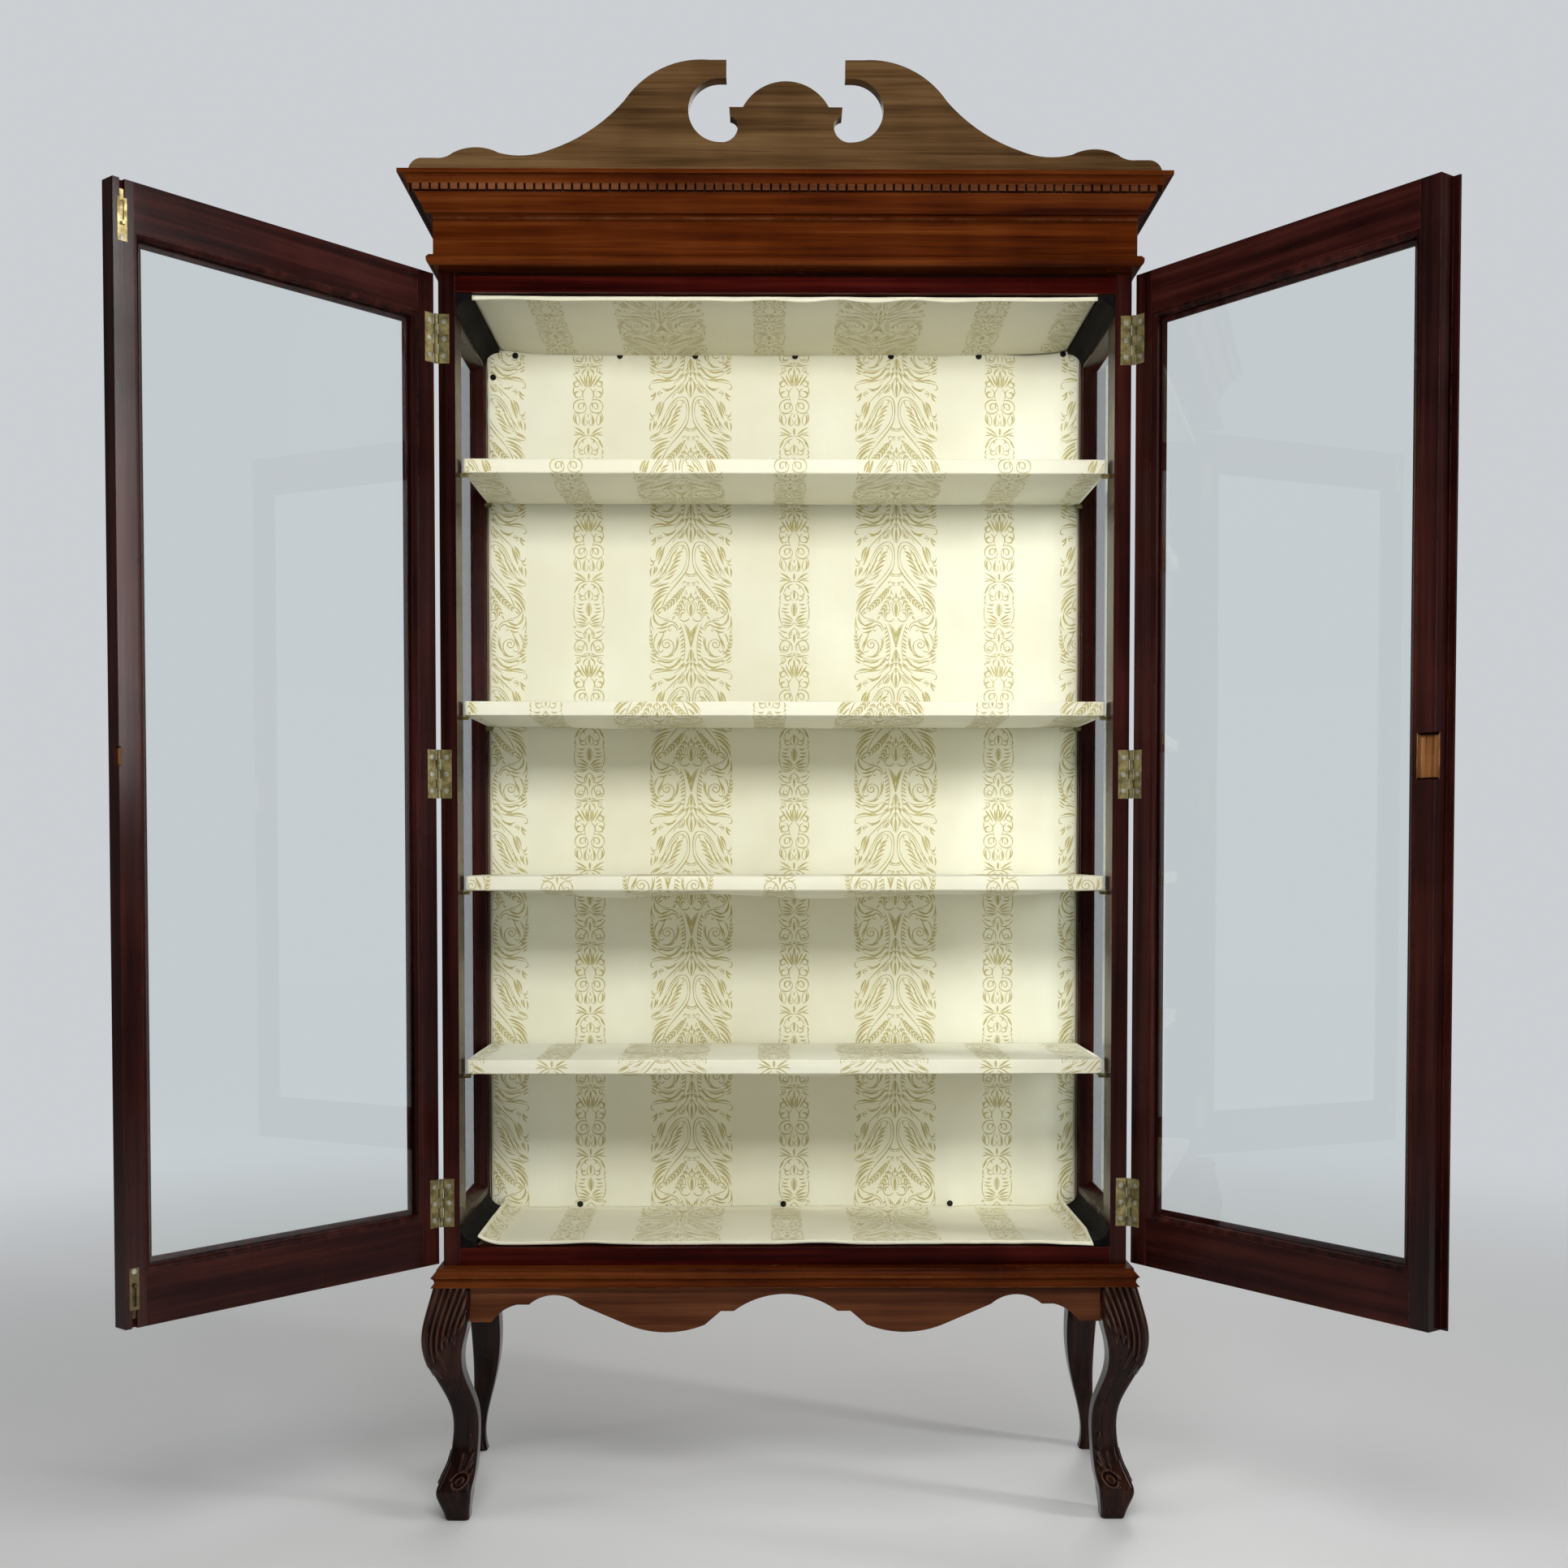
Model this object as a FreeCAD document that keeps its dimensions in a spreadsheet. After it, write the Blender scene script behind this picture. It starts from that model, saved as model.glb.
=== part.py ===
import FreeCAD, Part
import math
import os
import re
import Sketcher

# Glazed display cabinet on cabriole legs, in millimetres.
# X runs to the right, Y to the back and Z up; the origin is on the floor under the middle of the case.

doc = FreeCAD.newDocument("display_cabinet")
sheet = doc.addObject("Spreadsheet::Sheet", "Sizes")

sizes = {
    # case
    "case_width": 902, "case_depth": 290, "case_height": 1297.5,
    "post_width": 21.5, "front_post_depth": 45, "back_post_depth": 45,
    "rail_depth": 22, "sill_height": 23, "head_height": 25.5,
    "side_bottom_rail": 57, "side_top_rail": 54.5,
    "pane_thickness": 3, "pane_clearance": 0.4,
    "side_outer_bead": 2.5, "side_outer_lap": 9, "side_inner_lap": 14, "side_bead_nose": 3,
    "ceiling_board": 18, "batten_width": 20, "batten_height": 28, "batten_setback": 4,
    "back_panel": 10, "back_recess": 16,
    # base
    "leg_height": 312, "base_height": 23, "base_front": 20, "base_overhang": 16.5, "base_fillet": 4,
    "leg_side": 7, "leg_front": 26, "leg_block": 44, "leg_round": 7,
    "knee_drop": 69, "knee_out": 14, "knee_width": 50,
    "calf_drop": 114, "calf_out": 4, "calf_width": 40,
    "ankle_height": 101, "ankle_in": 17.5, "ankle_width": 34,
    "toe_height": 40, "toe_out": 1.5, "toe_width": 46,
    "sole_in": 9.5, "sole_width": 31,
    "back_knee_drop": 62, "back_knee_out": 4, "back_knee_width": 42,
    "back_shin_height": 112, "back_shin_in": 4, "back_shin_width": 32,
    "back_ankle_height": 47, "back_ankle_out": 2, "back_ankle_width": 22, "back_sole_out": 8,
    "back_sole_width": 29,
    "apron_setback": 4, "apron_thickness": 20, "side_apron_setback": 2,
    "apron_end_drop": 47, "apron_lobe_drop": 51, "apron_lobe_rise": 10, "apron_arch_drop": 24,
    "apron_arch_rise": 12.5,
    "apron_step_drop": 33, "apron_middle_rise": 22.5, "apron_middle_half": 68, "apron_step": 17,
    "side_apron_drop": 47, "side_apron_rise": 26, "back_apron_drop": 40,
    # hood
    "frieze_height": 109.5, "frieze_thickness": 15, "frieze_front": 27, "frieze_side": 1.5,
    "hood_board": 16, "top_board": 12, "lip_height": 13, "lip_overhang": 8,
    "cornice_height": 53, "cornice_overhang": 38.5, "cornice_fillet": 5, "cornice_ovolo": 7,
    "dentil_band": 8, "dentil_depth": 7, "dentil_web": 2, "dentil_pitch": 12, "dentil_gap": 3,
    "dentil_recess": 21,
    "cornice_bead": 8,
    "pediment_height": 143, "pediment_thickness": 20, "pediment_setback": 17.5, "pediment_end": 11,
    "pediment_shoulder": 19, "pediment_hump": 6.5, "pediment_nose": 23, "pediment_gap_half": 75.5,
    "pediment_hole_x": 84, "pediment_hole_radius": 40, "tablet_height": 84, "tablet_ear_half": 72,
    "tablet_half": 54.7,
    # doors and hinges
    "door_gap": 2, "door_thickness": 22.3, "door_foot_gap": 3, "door_head_gap": 2.5, "meeting_gap": 2.5,
    "door_stile": 26, "door_top_rail": 54, "door_bottom_rail": 62,
    "inner_bead": 7.5, "inner_bead_depth": 9, "outer_bead": 14, "bead_nose": 2.5,
    "left_open_angle": 130.8, "right_open_angle": 126,
    "hinge_offset": 2.9, "hinge_foot": 80, "hinge_head": 83,
    "leaf_height": 63.5, "leaf_width": 14, "leaf_thickness": 2, "leaf_fit": 0.1,
    "knuckle_radius": 2.6, "knuckle_gap": 0.3, "pin_radius": 1.4, "pin_clearance": 0.06,
    "screw_head": 3.2, "screw_head_depth": 1.8, "screw_shank": 1.4, "screw_length": 12, "screw_spacing": 22,
    "screw_clearance": 0.05,
    "astragal_width": 17, "astragal_thickness": 6, "astragal_lap": 8.5, "astragal_relief": 0.5,
    "lock_height": 53, "lock_width": 24, "lock_depth": 10, "lock_centre": 649,
    "strike_height": 22, "strike_depth": 3, "strike_width": 8,
    # flush bolts
    "bolt_plate_width": 12, "bolt_plate_height": 48, "bolt_plate_thickness": 1.6, "bolt_plate_inset": 21,
    "bolt_edge": 11.5, "bolt_width": 6, "bolt_depth": 4, "bolt_clearance": 0.2, "bolt_length": 44,
    "bolt_tip": 11,
    "bolt_throw": 22, "bolt_knob": 2.2, "bolt_knob_reach": 3, "bolt_knob_up": 6, "keeper_clearance": 0.8,
    "keeper_depth": 10, "bolt_screw_inset": 4,
    # shelves and lining
    "shelf_setback": 37, "shelf_gap": 4, "shelf_back_gap": 10, "shelf_thickness": 17,
    "top_shelf_share": 0.822, "second_shelf_share": 0.5753, "third_shelf_share": 0.3962,
    "bottom_shelf_share": 0.2069,
    "cover_thickness": 1.2, "cover_fit": 0.3, "cover_sag": 8, "cover_hem": 20,
    "pin_plate": 11, "pin_plate_thickness": 1.6, "pin_plate_reach": 10, "pin_stem_radius": 2.5,
    "pin_stem_bore": 12,
    "pin_stem_fit": 0.05, "pin_seat": 0.2, "pin_inset": 4,
    "lining_thickness": 1.2, "lining_fold": 2.2, "lining_edge": 2.5, "lining_fit": 0.3,
    "ceiling_sag": 9, "floor_turn_up": 7, "floor_sheet": 2,
}
for row, (name, number) in enumerate(sizes.items(), start=1):
    sheet.set("A%d" % row, name)
    sheet.set("B%d" % row, str(number))
    sheet.setAlias("B%d" % row, name)
doc.recompute()

# Derived places, as expressions of the sizes
front = "(-case_depth / 2)"
back = "(case_depth / 2)"
side = "(case_width / 2)"
inner = "(case_width / 2 - post_width)"
baseTop = "(leg_height + base_height)"
hoodBottom = "(leg_height + base_height + case_height)"
hoodTop = "(leg_height + base_height + case_height + frieze_height)"
friezeSide = "(case_width / 2 + frieze_side)"
friezeFront = "(-case_depth / 2 - frieze_front)"
panelFront = "(case_depth / 2 - back_recess - back_panel)"
clothBack = "(%s - lining_fit)" % panelFront
clothFront = "(%s - lining_thickness)" % clothBack
clothEnd = "(%s - lining_fold - lining_edge)" % clothFront
floorTop = "(leg_height + base_height + sill_height)"
ceilingUnder = "(leg_height + base_height + case_height - head_height)"
doorBottom = "(leg_height + base_height + door_foot_gap)"
doorTop = "(leg_height + base_height + case_height - door_head_gap)"
hingeX = "(case_width / 2 + hinge_offset)"
hingeY = "(-case_depth / 2 - door_gap / 2)"
doorBack = "(-door_gap / 2)"
doorFace = "(-door_gap / 2 - door_thickness)"
doorEdge = "(case_width / 2 + hinge_offset - meeting_gap / 2)"
hingeHeights = {
    "bottom": "(leg_height + base_height + door_foot_gap + hinge_foot)",
    "middle": "(leg_height + base_height"
              " + (door_foot_gap + hinge_foot + case_height - door_head_gap - hinge_head) / 2)",
    "top": "(leg_height + base_height + case_height - door_head_gap - hinge_head)",
}
shelfNames = ("top_shelf", "second_shelf", "third_shelf", "bottom_shelf")
shelfHeights = {name: "(leg_height + base_height + %s_share * case_height)" % name for name in shelfNames}
wordPattern = re.compile(r"[a-z][a-z_]*")
# each door's frame turns about its hinge axis; the case stands in the world frame
frames = {
    "case": ("0", "0", "0"),
    "left_door": ("-" + hingeX, hingeY, "(-left_open_angle)"),
    "right_door": (hingeX, hingeY, "right_open_angle"),
}
nodes = []


def cells(text):
    return wordPattern.sub(lambda m: "Sizes." + m.group(0) if m.group(0) in sizes else m.group(0),
                           str(text))


def bind(thing, prop, text):
    thing.setExpression(prop, cells(text))


def value(text):
    return float(sheet.evalExpression(cells(text)))


def span(low, high):
    return "(%s) - (%s)" % (high, low)


def flip(sign, low, high):
    """An X range on the right side, or its mirror image on the left."""
    if sign > 0:
        return (low, high)
    return ("-(%s)" % high, "-(%s)" % low)


def place(thing, x="0", y="0", z="0", frame="case"):
    """Binds a placement: a point of a frame that turns about Z."""
    fx, fy, turn = frames[frame]
    if frame == "case":
        bind(thing, "Placement.Base.x", x)
        bind(thing, "Placement.Base.y", y)
    else:
        bind(thing, "Placement.Base.x", "%s + cos(%s) * (%s) - sin(%s) * (%s)" % (fx, turn, x, turn, y))
        bind(thing, "Placement.Base.y", "%s + sin(%s) * (%s) + cos(%s) * (%s)" % (fy, turn, x, turn, y))
        thing.Placement = FreeCAD.Placement(FreeCAD.Vector(), FreeCAD.Rotation(FreeCAD.Vector(0, 0, 1), 10))
        bind(thing, "Placement.Rotation.Angle", turn)
    bind(thing, "Placement.Base.z", z)


def node(label, thing, frame=None):
    """Makes an object one of the part's pieces."""
    thing.Label = label
    if frame:
        place(thing, frame=frame)
    nodes.append(thing)
    return thing


def box(name, xs, ys, zs, frame="case"):
    thing = doc.addObject("Part::Box", name)
    bind(thing, "Length", span(*xs))
    bind(thing, "Width", span(*ys))
    bind(thing, "Height", span(*zs))
    place(thing, xs[0], ys[0], zs[0], frame)
    return thing


def rod(name, radius, length, x, y, z, axis=None):
    """A cylinder from a point, up Z or along a given axis."""
    thing = doc.addObject("Part::Cylinder", name)
    bind(thing, "Radius", radius)
    bind(thing, "Height", length)
    if axis:
        thing.Placement = FreeCAD.Placement(FreeCAD.Vector(),
                                            FreeCAD.Rotation(FreeCAD.Vector(0, 0, 1), axis))
    place(thing, x, y, z)
    return thing


def group(name, things):
    thing = doc.addObject("Part::Compound", name)
    thing.Links = things
    return thing


def cut(name, base, tools):
    thing = doc.addObject("Part::Cut", name)
    thing.Base = base
    thing.Tool = tools[0] if len(tools) == 1 else group(name + "_tools", tools)
    return thing


def fuse(name, things):
    thing = doc.addObject("Part::MultiFuse", name)
    thing.Shapes = things
    return thing


def copy(name, source, x, y, z, turn=None):
    """Another of the same piece, at a point and turned."""
    thing = doc.addObject("App::Link", name)
    thing.LinkedObject = source
    thing.LinkTransform = True
    thing.Placement = FreeCAD.Placement(FreeCAD.Vector(), turn or FreeCAD.Rotation())
    place(thing, x, y, z)
    return thing


def plane(body, role):
    return [item for item in body.Origin.OriginFeatures if item.Role == role][0]


def sketch(body, name, role, offset="0"):
    thing = body.newObject("Sketcher::SketchObject", name)
    thing.AttachmentSupport = (plane(body, role), [""])
    thing.MapMode = "FlatFace"
    bind(thing, "AttachmentOffset.Base.z", offset)
    return thing


def outline(thing, points, closed=True):
    """Draws lines and arcs through points (x, y) or (x, y, bow).

    A bow is the rise of the arc to the next point over half its chord, or that rise as an expression;
    above 0 it rises on the left."""
    places = [FreeCAD.Vector(value(p[0]), value(p[1]), 0) for p in points]
    count = len(points) if closed else len(points) - 1
    ends = []
    for i in range(count):
        a, b = places[i], places[(i + 1) % len(points)]
        bow = points[i][2] if len(points[i]) > 2 else 0
        if bow:
            chord = b - a
            if isinstance(bow, str):
                bow = 2 * value(bow) / chord.Length
            middle = (a + b) * 0.5 + FreeCAD.Vector(-chord.y, chord.x, 0) * (bow / 2)
            thing.addGeometry(Part.Arc(a, middle, b))
            ends.append((2, 1) if bow > 0 else (1, 2))
        else:
            thing.addGeometry(Part.LineSegment(a, b))
            ends.append((1, 2))
    for i in range(count if closed else count - 1):
        j = (i + 1) % count
        thing.addConstraint(Sketcher.Constraint("Coincident", i, ends[i][1], j, ends[j][0]))
    for i, point in enumerate(points):
        line, end = (i, ends[i][0]) if i < count else (i - 1, ends[i - 1][1])
        for kind, axis in (("DistanceX", 0), ("DistanceY", 1)):
            number = thing.addConstraint(Sketcher.Constraint(kind, -1, 1, line, end, places[i][axis]))
            bind(thing, "Constraints[%d]" % number, point[axis])
    for i in range(count):
        bow = points[i][2] if len(points[i]) > 2 else 0
        if bow:
            a, b = points[i], points[(i + 1) % len(points)]
            chord = "sqrt(pow((%s) - (%s); 2) + pow((%s) - (%s); 2))" % (b[0], a[0], b[1], a[1])
            if isinstance(bow, str):
                radius = "pow(%s; 2) / (8 * abs(%s)) + abs(%s) / 2" % (chord, bow, bow)
            else:
                radius = "%s * %.12f" % (chord, (1 + bow * bow) / (4 * abs(bow)))
            number = thing.addConstraint(Sketcher.Constraint("Radius", i, value(radius)))
            bind(thing, "Constraints[%d]" % number, radius)


def mirrored(points):
    """Completes an outline that is symmetrical about the second axis, from its left half."""
    right = []
    for i in range(len(points) - 1, -1, -1):
        bow = points[i - 1][2] if i > 0 and len(points[i - 1]) > 2 else 0
        x = "-(%s)" % points[i][0]
        right.append((x, points[i][1], bow) if bow else (x, points[i][1]))
    return points + right


def board(name, role, points, start, length):
    """An outline drawn on a plane and thickened along that plane's normal."""
    body = doc.addObject("PartDesign::Body", name)
    shape = sketch(body, name + "_outline", role, start)
    outline(shape, points)
    pad = body.newObject("PartDesign::Pad", name + "_pad")
    pad.Profile = shape
    bind(pad, "Length", length)
    return body


def moulding(name, half, face, height, profile):
    """A profile (reach, height) run round the left side, the front and the right side of a block."""
    body = doc.addObject("PartDesign::Body", name)
    path = sketch(body, name + "_path", "XY_Plane", height)
    outline(path, [("-" + half, back), ("-" + half, face), (half, face), (half, back)], closed=False)
    shape = sketch(body, name + "_profile", "XZ_Plane", "-" + back)
    outline(shape, [("-%s - (%s)" % (half, p[0]), "%s + (%s)" % (height, p[1])) + tuple(p[2:])
                    for p in profile])
    pipe = body.newObject("PartDesign::AdditivePipe", name + "_run")
    pipe.Profile = shape
    pipe.Spine = (path, ["Edge1", "Edge2", "Edge3"])
    pipe.Transition = "Right corner"
    return body


def beadFrame(name, corner, far, low, high, depth, profile, role):
    """A glazing bead: a profile (reach into the opening, depth) run round a rectangular opening."""
    body = doc.addObject("PartDesign::Body", name)
    path = sketch(body, name + "_path", role, depth)
    outline(path, [(corner, low), (far, low), (far, high), (corner, high)])
    shape = sketch(body, name + "_profile", "XY_Plane", "((%s) + (%s)) / 2" % (low, high))
    outline(shape, profile)
    pipe = body.newObject("PartDesign::AdditivePipe", name + "_run")
    pipe.Profile = shape
    pipe.Spine = (path, ["Edge4", "Edge1", "Edge2", "Edge3"])
    pipe.Transition = "Right corner"
    return body


# Legs: rounded squares lofted from the block under the case down to the sole
quarterBow = -math.tan(math.radians(22.5))


def leg(name, signX, signY, edgeX, edgeY, sections):
    body = doc.addObject("PartDesign::Body", name)
    sketches = []
    for i, (height, out, width) in enumerate(sections):
        shape = sketch(body, "%s_section_%d" % (name, i), "XY_Plane", height)
        farX, farY = "%s + (%s)" % (edgeX, out), "%s + (%s)" % (edgeY, out)
        left, right = flip(signX, "%s - (%s)" % (farX, width), farX)
        near, far = flip(signY, "%s - (%s)" % (farY, width), farY)
        r = "leg_round"
        outline(shape, [
            ("%s + %s" % (left, r), near), ("%s - %s" % (right, r), near, quarterBow),
            (right, "%s + %s" % (near, r)), (right, "%s - %s" % (far, r), quarterBow),
            ("%s - %s" % (right, r), far), ("%s + %s" % (left, r), far, quarterBow),
            (left, "%s - %s" % (far, r)), (left, "%s + %s" % (near, r), quarterBow),
        ])
        sketches.append(shape)
    loft = body.newObject("PartDesign::AdditiveLoft", name + "_loft")
    loft.Profile = sketches[0]
    loft.Sections = sketches[1:]
    return body


calf = "(leg_height - calf_drop)"
frontSections = [
    ("leg_height", "0", "leg_block"),
    ("leg_height - knee_drop", "knee_out", "knee_width"),
    (calf, "calf_out", "calf_width"),
    ("(%s + ankle_height) / 2" % calf, "(calf_out - ankle_in) / 2 - ankle_width / 4", "ankle_width"),
    ("ankle_height", "-ankle_in", "ankle_width"),
    ("toe_height", "toe_out", "toe_width"),
    ("0", "-sole_in", "sole_width"),
]
backSections = [
    ("leg_height", "0", "leg_block"),
    ("leg_height - back_knee_drop", "back_knee_out", "back_knee_width"),
    ("back_shin_height", "-back_shin_in", "back_shin_width"),
    ("back_ankle_height", "back_ankle_out", "back_ankle_width"),
    ("0", "back_sole_out", "back_sole_width"),
]
legSideEdge = "(case_width / 2 + leg_side)"
legFrontEdge = "(case_depth / 2 + leg_front)"
for sign, word in ((-1, "left"), (1, "right")):
    name = "front_%s_leg" % word
    node(name, leg(name, sign, -1, legSideEdge, legFrontEdge, frontSections))
    name = "back_%s_leg" % word
    node(name, leg(name, sign, 1, legSideEdge, back, backSections))

# Aprons between the leg blocks
apronEnd = "(case_width / 2 + leg_side - leg_block)"
apronFace = "(-case_depth / 2 - leg_front + apron_setback)"
under = "leg_height"
archLeft = "(apron_middle_half + apron_step)"
archZ, lobeZ = "leg_height - apron_arch_drop", "leg_height - apron_lobe_drop"
apronHalf = [
    ("-" + apronEnd, under),
    ("-" + apronEnd, "leg_height - apron_end_drop"),
    ("-0.93 * %s" % apronEnd, "leg_height - apron_end_drop", 0.2),
    ("-0.85 * %s" % apronEnd, archZ),
    ("-0.812 * %s" % apronEnd, archZ, "apron_arch_rise"),
    ("-0.652 * %s" % apronEnd, archZ),
    ("-0.5 * %s" % apronEnd, lobeZ, "-apron_lobe_rise"),
    ("-0.256 * %s" % apronEnd, lobeZ),
    ("-" + archLeft, "leg_height - apron_step_drop"),
    ("-apron_middle_half", "leg_height - apron_step_drop", "apron_middle_rise"),
]
frontApron = board("front_apron_board", "XZ_Plane", mirrored(apronHalf),
                   "-(%s + apron_thickness)" % apronFace,
                   "apron_thickness")
legs = {thing.Label: thing for thing in nodes}
node("front_apron", cut("front_apron", frontApron, [legs["front_left_leg"], legs["front_right_leg"]]))
apronFront = "(%s + leg_block)" % ("(-case_depth / 2 - leg_front)")
apronBack = "(case_depth / 2 - leg_block)"
sideAprons = []
for sign, word in ((-1, "left"), (1, "right")):
    outer = "(case_width / 2 + leg_side - side_apron_setback)"
    edge = outer if sign > 0 else "(-%s + apron_thickness)" % outer
    quarter = "((%s - %s) / 6)" % (apronBack, apronFront)
    points = [
        (apronFront, under), (apronBack, under), (apronBack, "leg_height - side_apron_drop"),
        ("%s - %s" % (apronBack, quarter), "leg_height - side_apron_drop", "-side_apron_rise"),
        ("%s + %s" % (apronFront, quarter), "leg_height - side_apron_drop"),
        (apronFront, "leg_height - side_apron_drop"),
    ]
    blank = board("%s_apron_board" % word, "YZ_Plane", points, "%s - apron_thickness" % edge,
                  "apron_thickness")
    sideAprons.append(cut("%s_apron" % word, blank,
                          [legs["front_%s_leg" % word], legs["back_%s_leg" % word]]))
node("side_aprons", group("side_aprons", sideAprons))
node("back_apron", box("back_apron", ("-" + apronEnd, apronEnd),
                       ("case_depth / 2 - apron_setback - apron_thickness",
                        "case_depth / 2 - apron_setback"),
                       ("leg_height - back_apron_drop", under)))

# Bottom board, with keeper holes for the lower bolt, and the moulding round it
boltX = "(case_width / 2 + hinge_offset - meeting_gap / 2 - bolt_edge)"
boltMiddle = "(door_gap / 2 + bolt_plate_thickness + bolt_clearance + bolt_depth / 2)"
keeperX = "(-%s + %s)" % (hingeX, boltX)
keeperY = "(%s - %s)" % (hingeY, boltMiddle)
keeperRadius = "(sqrt(bolt_width * bolt_width + bolt_depth * bolt_depth) / 2 + keeper_clearance)"
baseBlock = box("bottom_board_blank", ("-" + side, side), ("%s - base_front" % front, back),
                (under, baseTop))
lowerKeeper = rod("lower_keeper", keeperRadius, "keeper_depth", keeperX, keeperY,
                  "%s - keeper_depth" % baseTop)
node("bottom_board", cut("bottom_board", baseBlock, [lowerKeeper]))
node("base_moulding", moulding("base_moulding", side, "(%s - base_front)" % front, under, [
    ("0", "0"), ("base_overhang - base_fillet", "0", -0.7),
    ("base_overhang - base_fillet", "0.55 * base_height"),
    ("base_overhang / 2", "0.62 * base_height", 0.35),
    ("base_overhang / 3", "base_height - base_fillet"),
    ("base_overhang / 3", "base_height"), ("0", "base_height"),
]))


# Butt hinges: a case leaf with three knuckles, a door leaf with two, and the pin
def knuckleRange(index):
    low = "-leaf_height / 2 + %d * leaf_height / 5 + knuckle_gap / 2" % index
    return (low, "%s + leaf_height / 5 - knuckle_gap" % low)


def hingeLeaf(name, knuckles):
    """A leaf in its hinge's own frame: plate towards +X, behind the axis, screw heads facing -Y."""
    plateY = ("door_gap / 2", "door_gap / 2 + leaf_thickness")
    plate = box(name + "_plate", ("hinge_offset + leaf_fit", "hinge_offset + leaf_width"), plateY,
                ("-leaf_height / 2", "leaf_height / 2"))
    pieces = [plate]
    for index in knuckles:
        zs = knuckleRange(index)
        pieces.append(rod("%s_knuckle_%d" % (name, index), "knuckle_radius", span(*zs), "0", "0", zs[0]))
        pieces.append(box("%s_web_%d" % (name, index), ("pin_radius", "hinge_offset + 2 * leaf_fit"),
                          ("door_gap / 2", "door_gap / 2 + leaf_thickness / 2"), zs))
    solid = fuse(name + "_solid", pieces)
    tools = [rod(name + "_bore", "pin_radius + pin_clearance", "leaf_height + 2 * knuckle_gap", "0", "0",
                 "-leaf_height / 2 - knuckle_gap")]
    tools += [copy("%s_sink_%d" % (name, k), screwHole, screwX, "door_gap / 2", "%d * screw_spacing" % k)
              for k in (-1, 0, 1)]
    return cut(name, solid, tools)


def screwShape(name, extra):
    """A countersunk screw that points along +Y, with its head's face on the XZ plane."""
    head = doc.addObject("Part::Cone", name + "_head")
    bind(head, "Radius1", "screw_head + %s" % extra)
    bind(head, "Radius2", "screw_shank + %s" % extra)
    bind(head, "Height", "screw_head_depth")
    shank = doc.addObject("Part::Cylinder", name + "_shank")
    bind(shank, "Radius", "screw_shank + %s" % extra)
    bind(shank, "Height", "screw_length + %s" % extra)
    whole = fuse(name + "_up", [head, shank])
    turned = group(name, [whole])
    turned.Placement = FreeCAD.Placement(FreeCAD.Vector(), FreeCAD.Rotation(FreeCAD.Vector(1, 0, 0), -90))
    return turned


screwX = "(hinge_offset + leaf_width / 2)"
screw = screwShape("screw", "0")
screwHole = screwShape("screw_hole", "screw_clearance")
caseLeaf = hingeLeaf("case_leaf", (0, 2, 4))
doorLeaf = hingeLeaf("door_leaf", (1, 3))
hingePin = rod("hinge_pin", "pin_radius", "leaf_height", "0", "0", "-leaf_height / 2")
asIs = FreeCAD.Rotation()
aboutX = FreeCAD.Rotation(FreeCAD.Vector(1, 0, 0), 180)
aboutY = FreeCAD.Rotation(FreeCAD.Vector(0, 1, 0), 180)
aboutZ = FreeCAD.Rotation(FreeCAD.Vector(0, 0, 1), 180)


def hingeSeats(name, x, y, sign, turn, height):
    """The recess and screw holes that a leaf needs in the wood behind it."""
    recess = box(name + "_recess", flip(sign, "%s" % "0", "leaf_width + leaf_fit"),
                 ("-leaf_fit", "leaf_thickness + leaf_fit"),
                 ("-leaf_height / 2 - leaf_fit", "leaf_height / 2 + leaf_fit"))
    holes = [copy("%s_hole_%d" % (name, k), screwHole, "%d * leaf_width / 2" % sign, "0",
                  "%d * screw_spacing" % k)
             for k in (-1, 0, 1)]
    return copy(name, group(name + "_tool", [recess] + holes), x, y, height, turn)


# Posts and rails of the case, with holes for the shelf pins
shelfHalf = "(%s - shelf_gap)" % inner
coverFront = "(%s + shelf_setback)" % front
skin = "(cover_thickness + cover_fit)"
coverBack = "(%s - shelf_back_gap)" % panelFront
pinPlaces = {"front": "(%s + pin_inset)" % coverFront, "back": "(%s - pin_inset)" % coverBack}
pinDepth = "(shelf_thickness + 2 * %s + pin_seat)" % skin


def pinHoles(word, sign, end):
    holes = []
    for name, height in shelfHeights.items():
        hole = rod("pin_hole_%s_%s_%s" % (name, word, end), "pin_stem_radius + pin_stem_fit",
                   "pin_stem_bore",
                   "%d * %s" % (sign, inner), pinPlaces[end],
                   "%s - %s - pin_stem_radius" % (height, pinDepth))
        hole.Placement.Rotation = FreeCAD.Rotation(FreeCAD.Vector(0, 1, 0), 90 * sign)
        holes.append(hole)
    return holes


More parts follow.
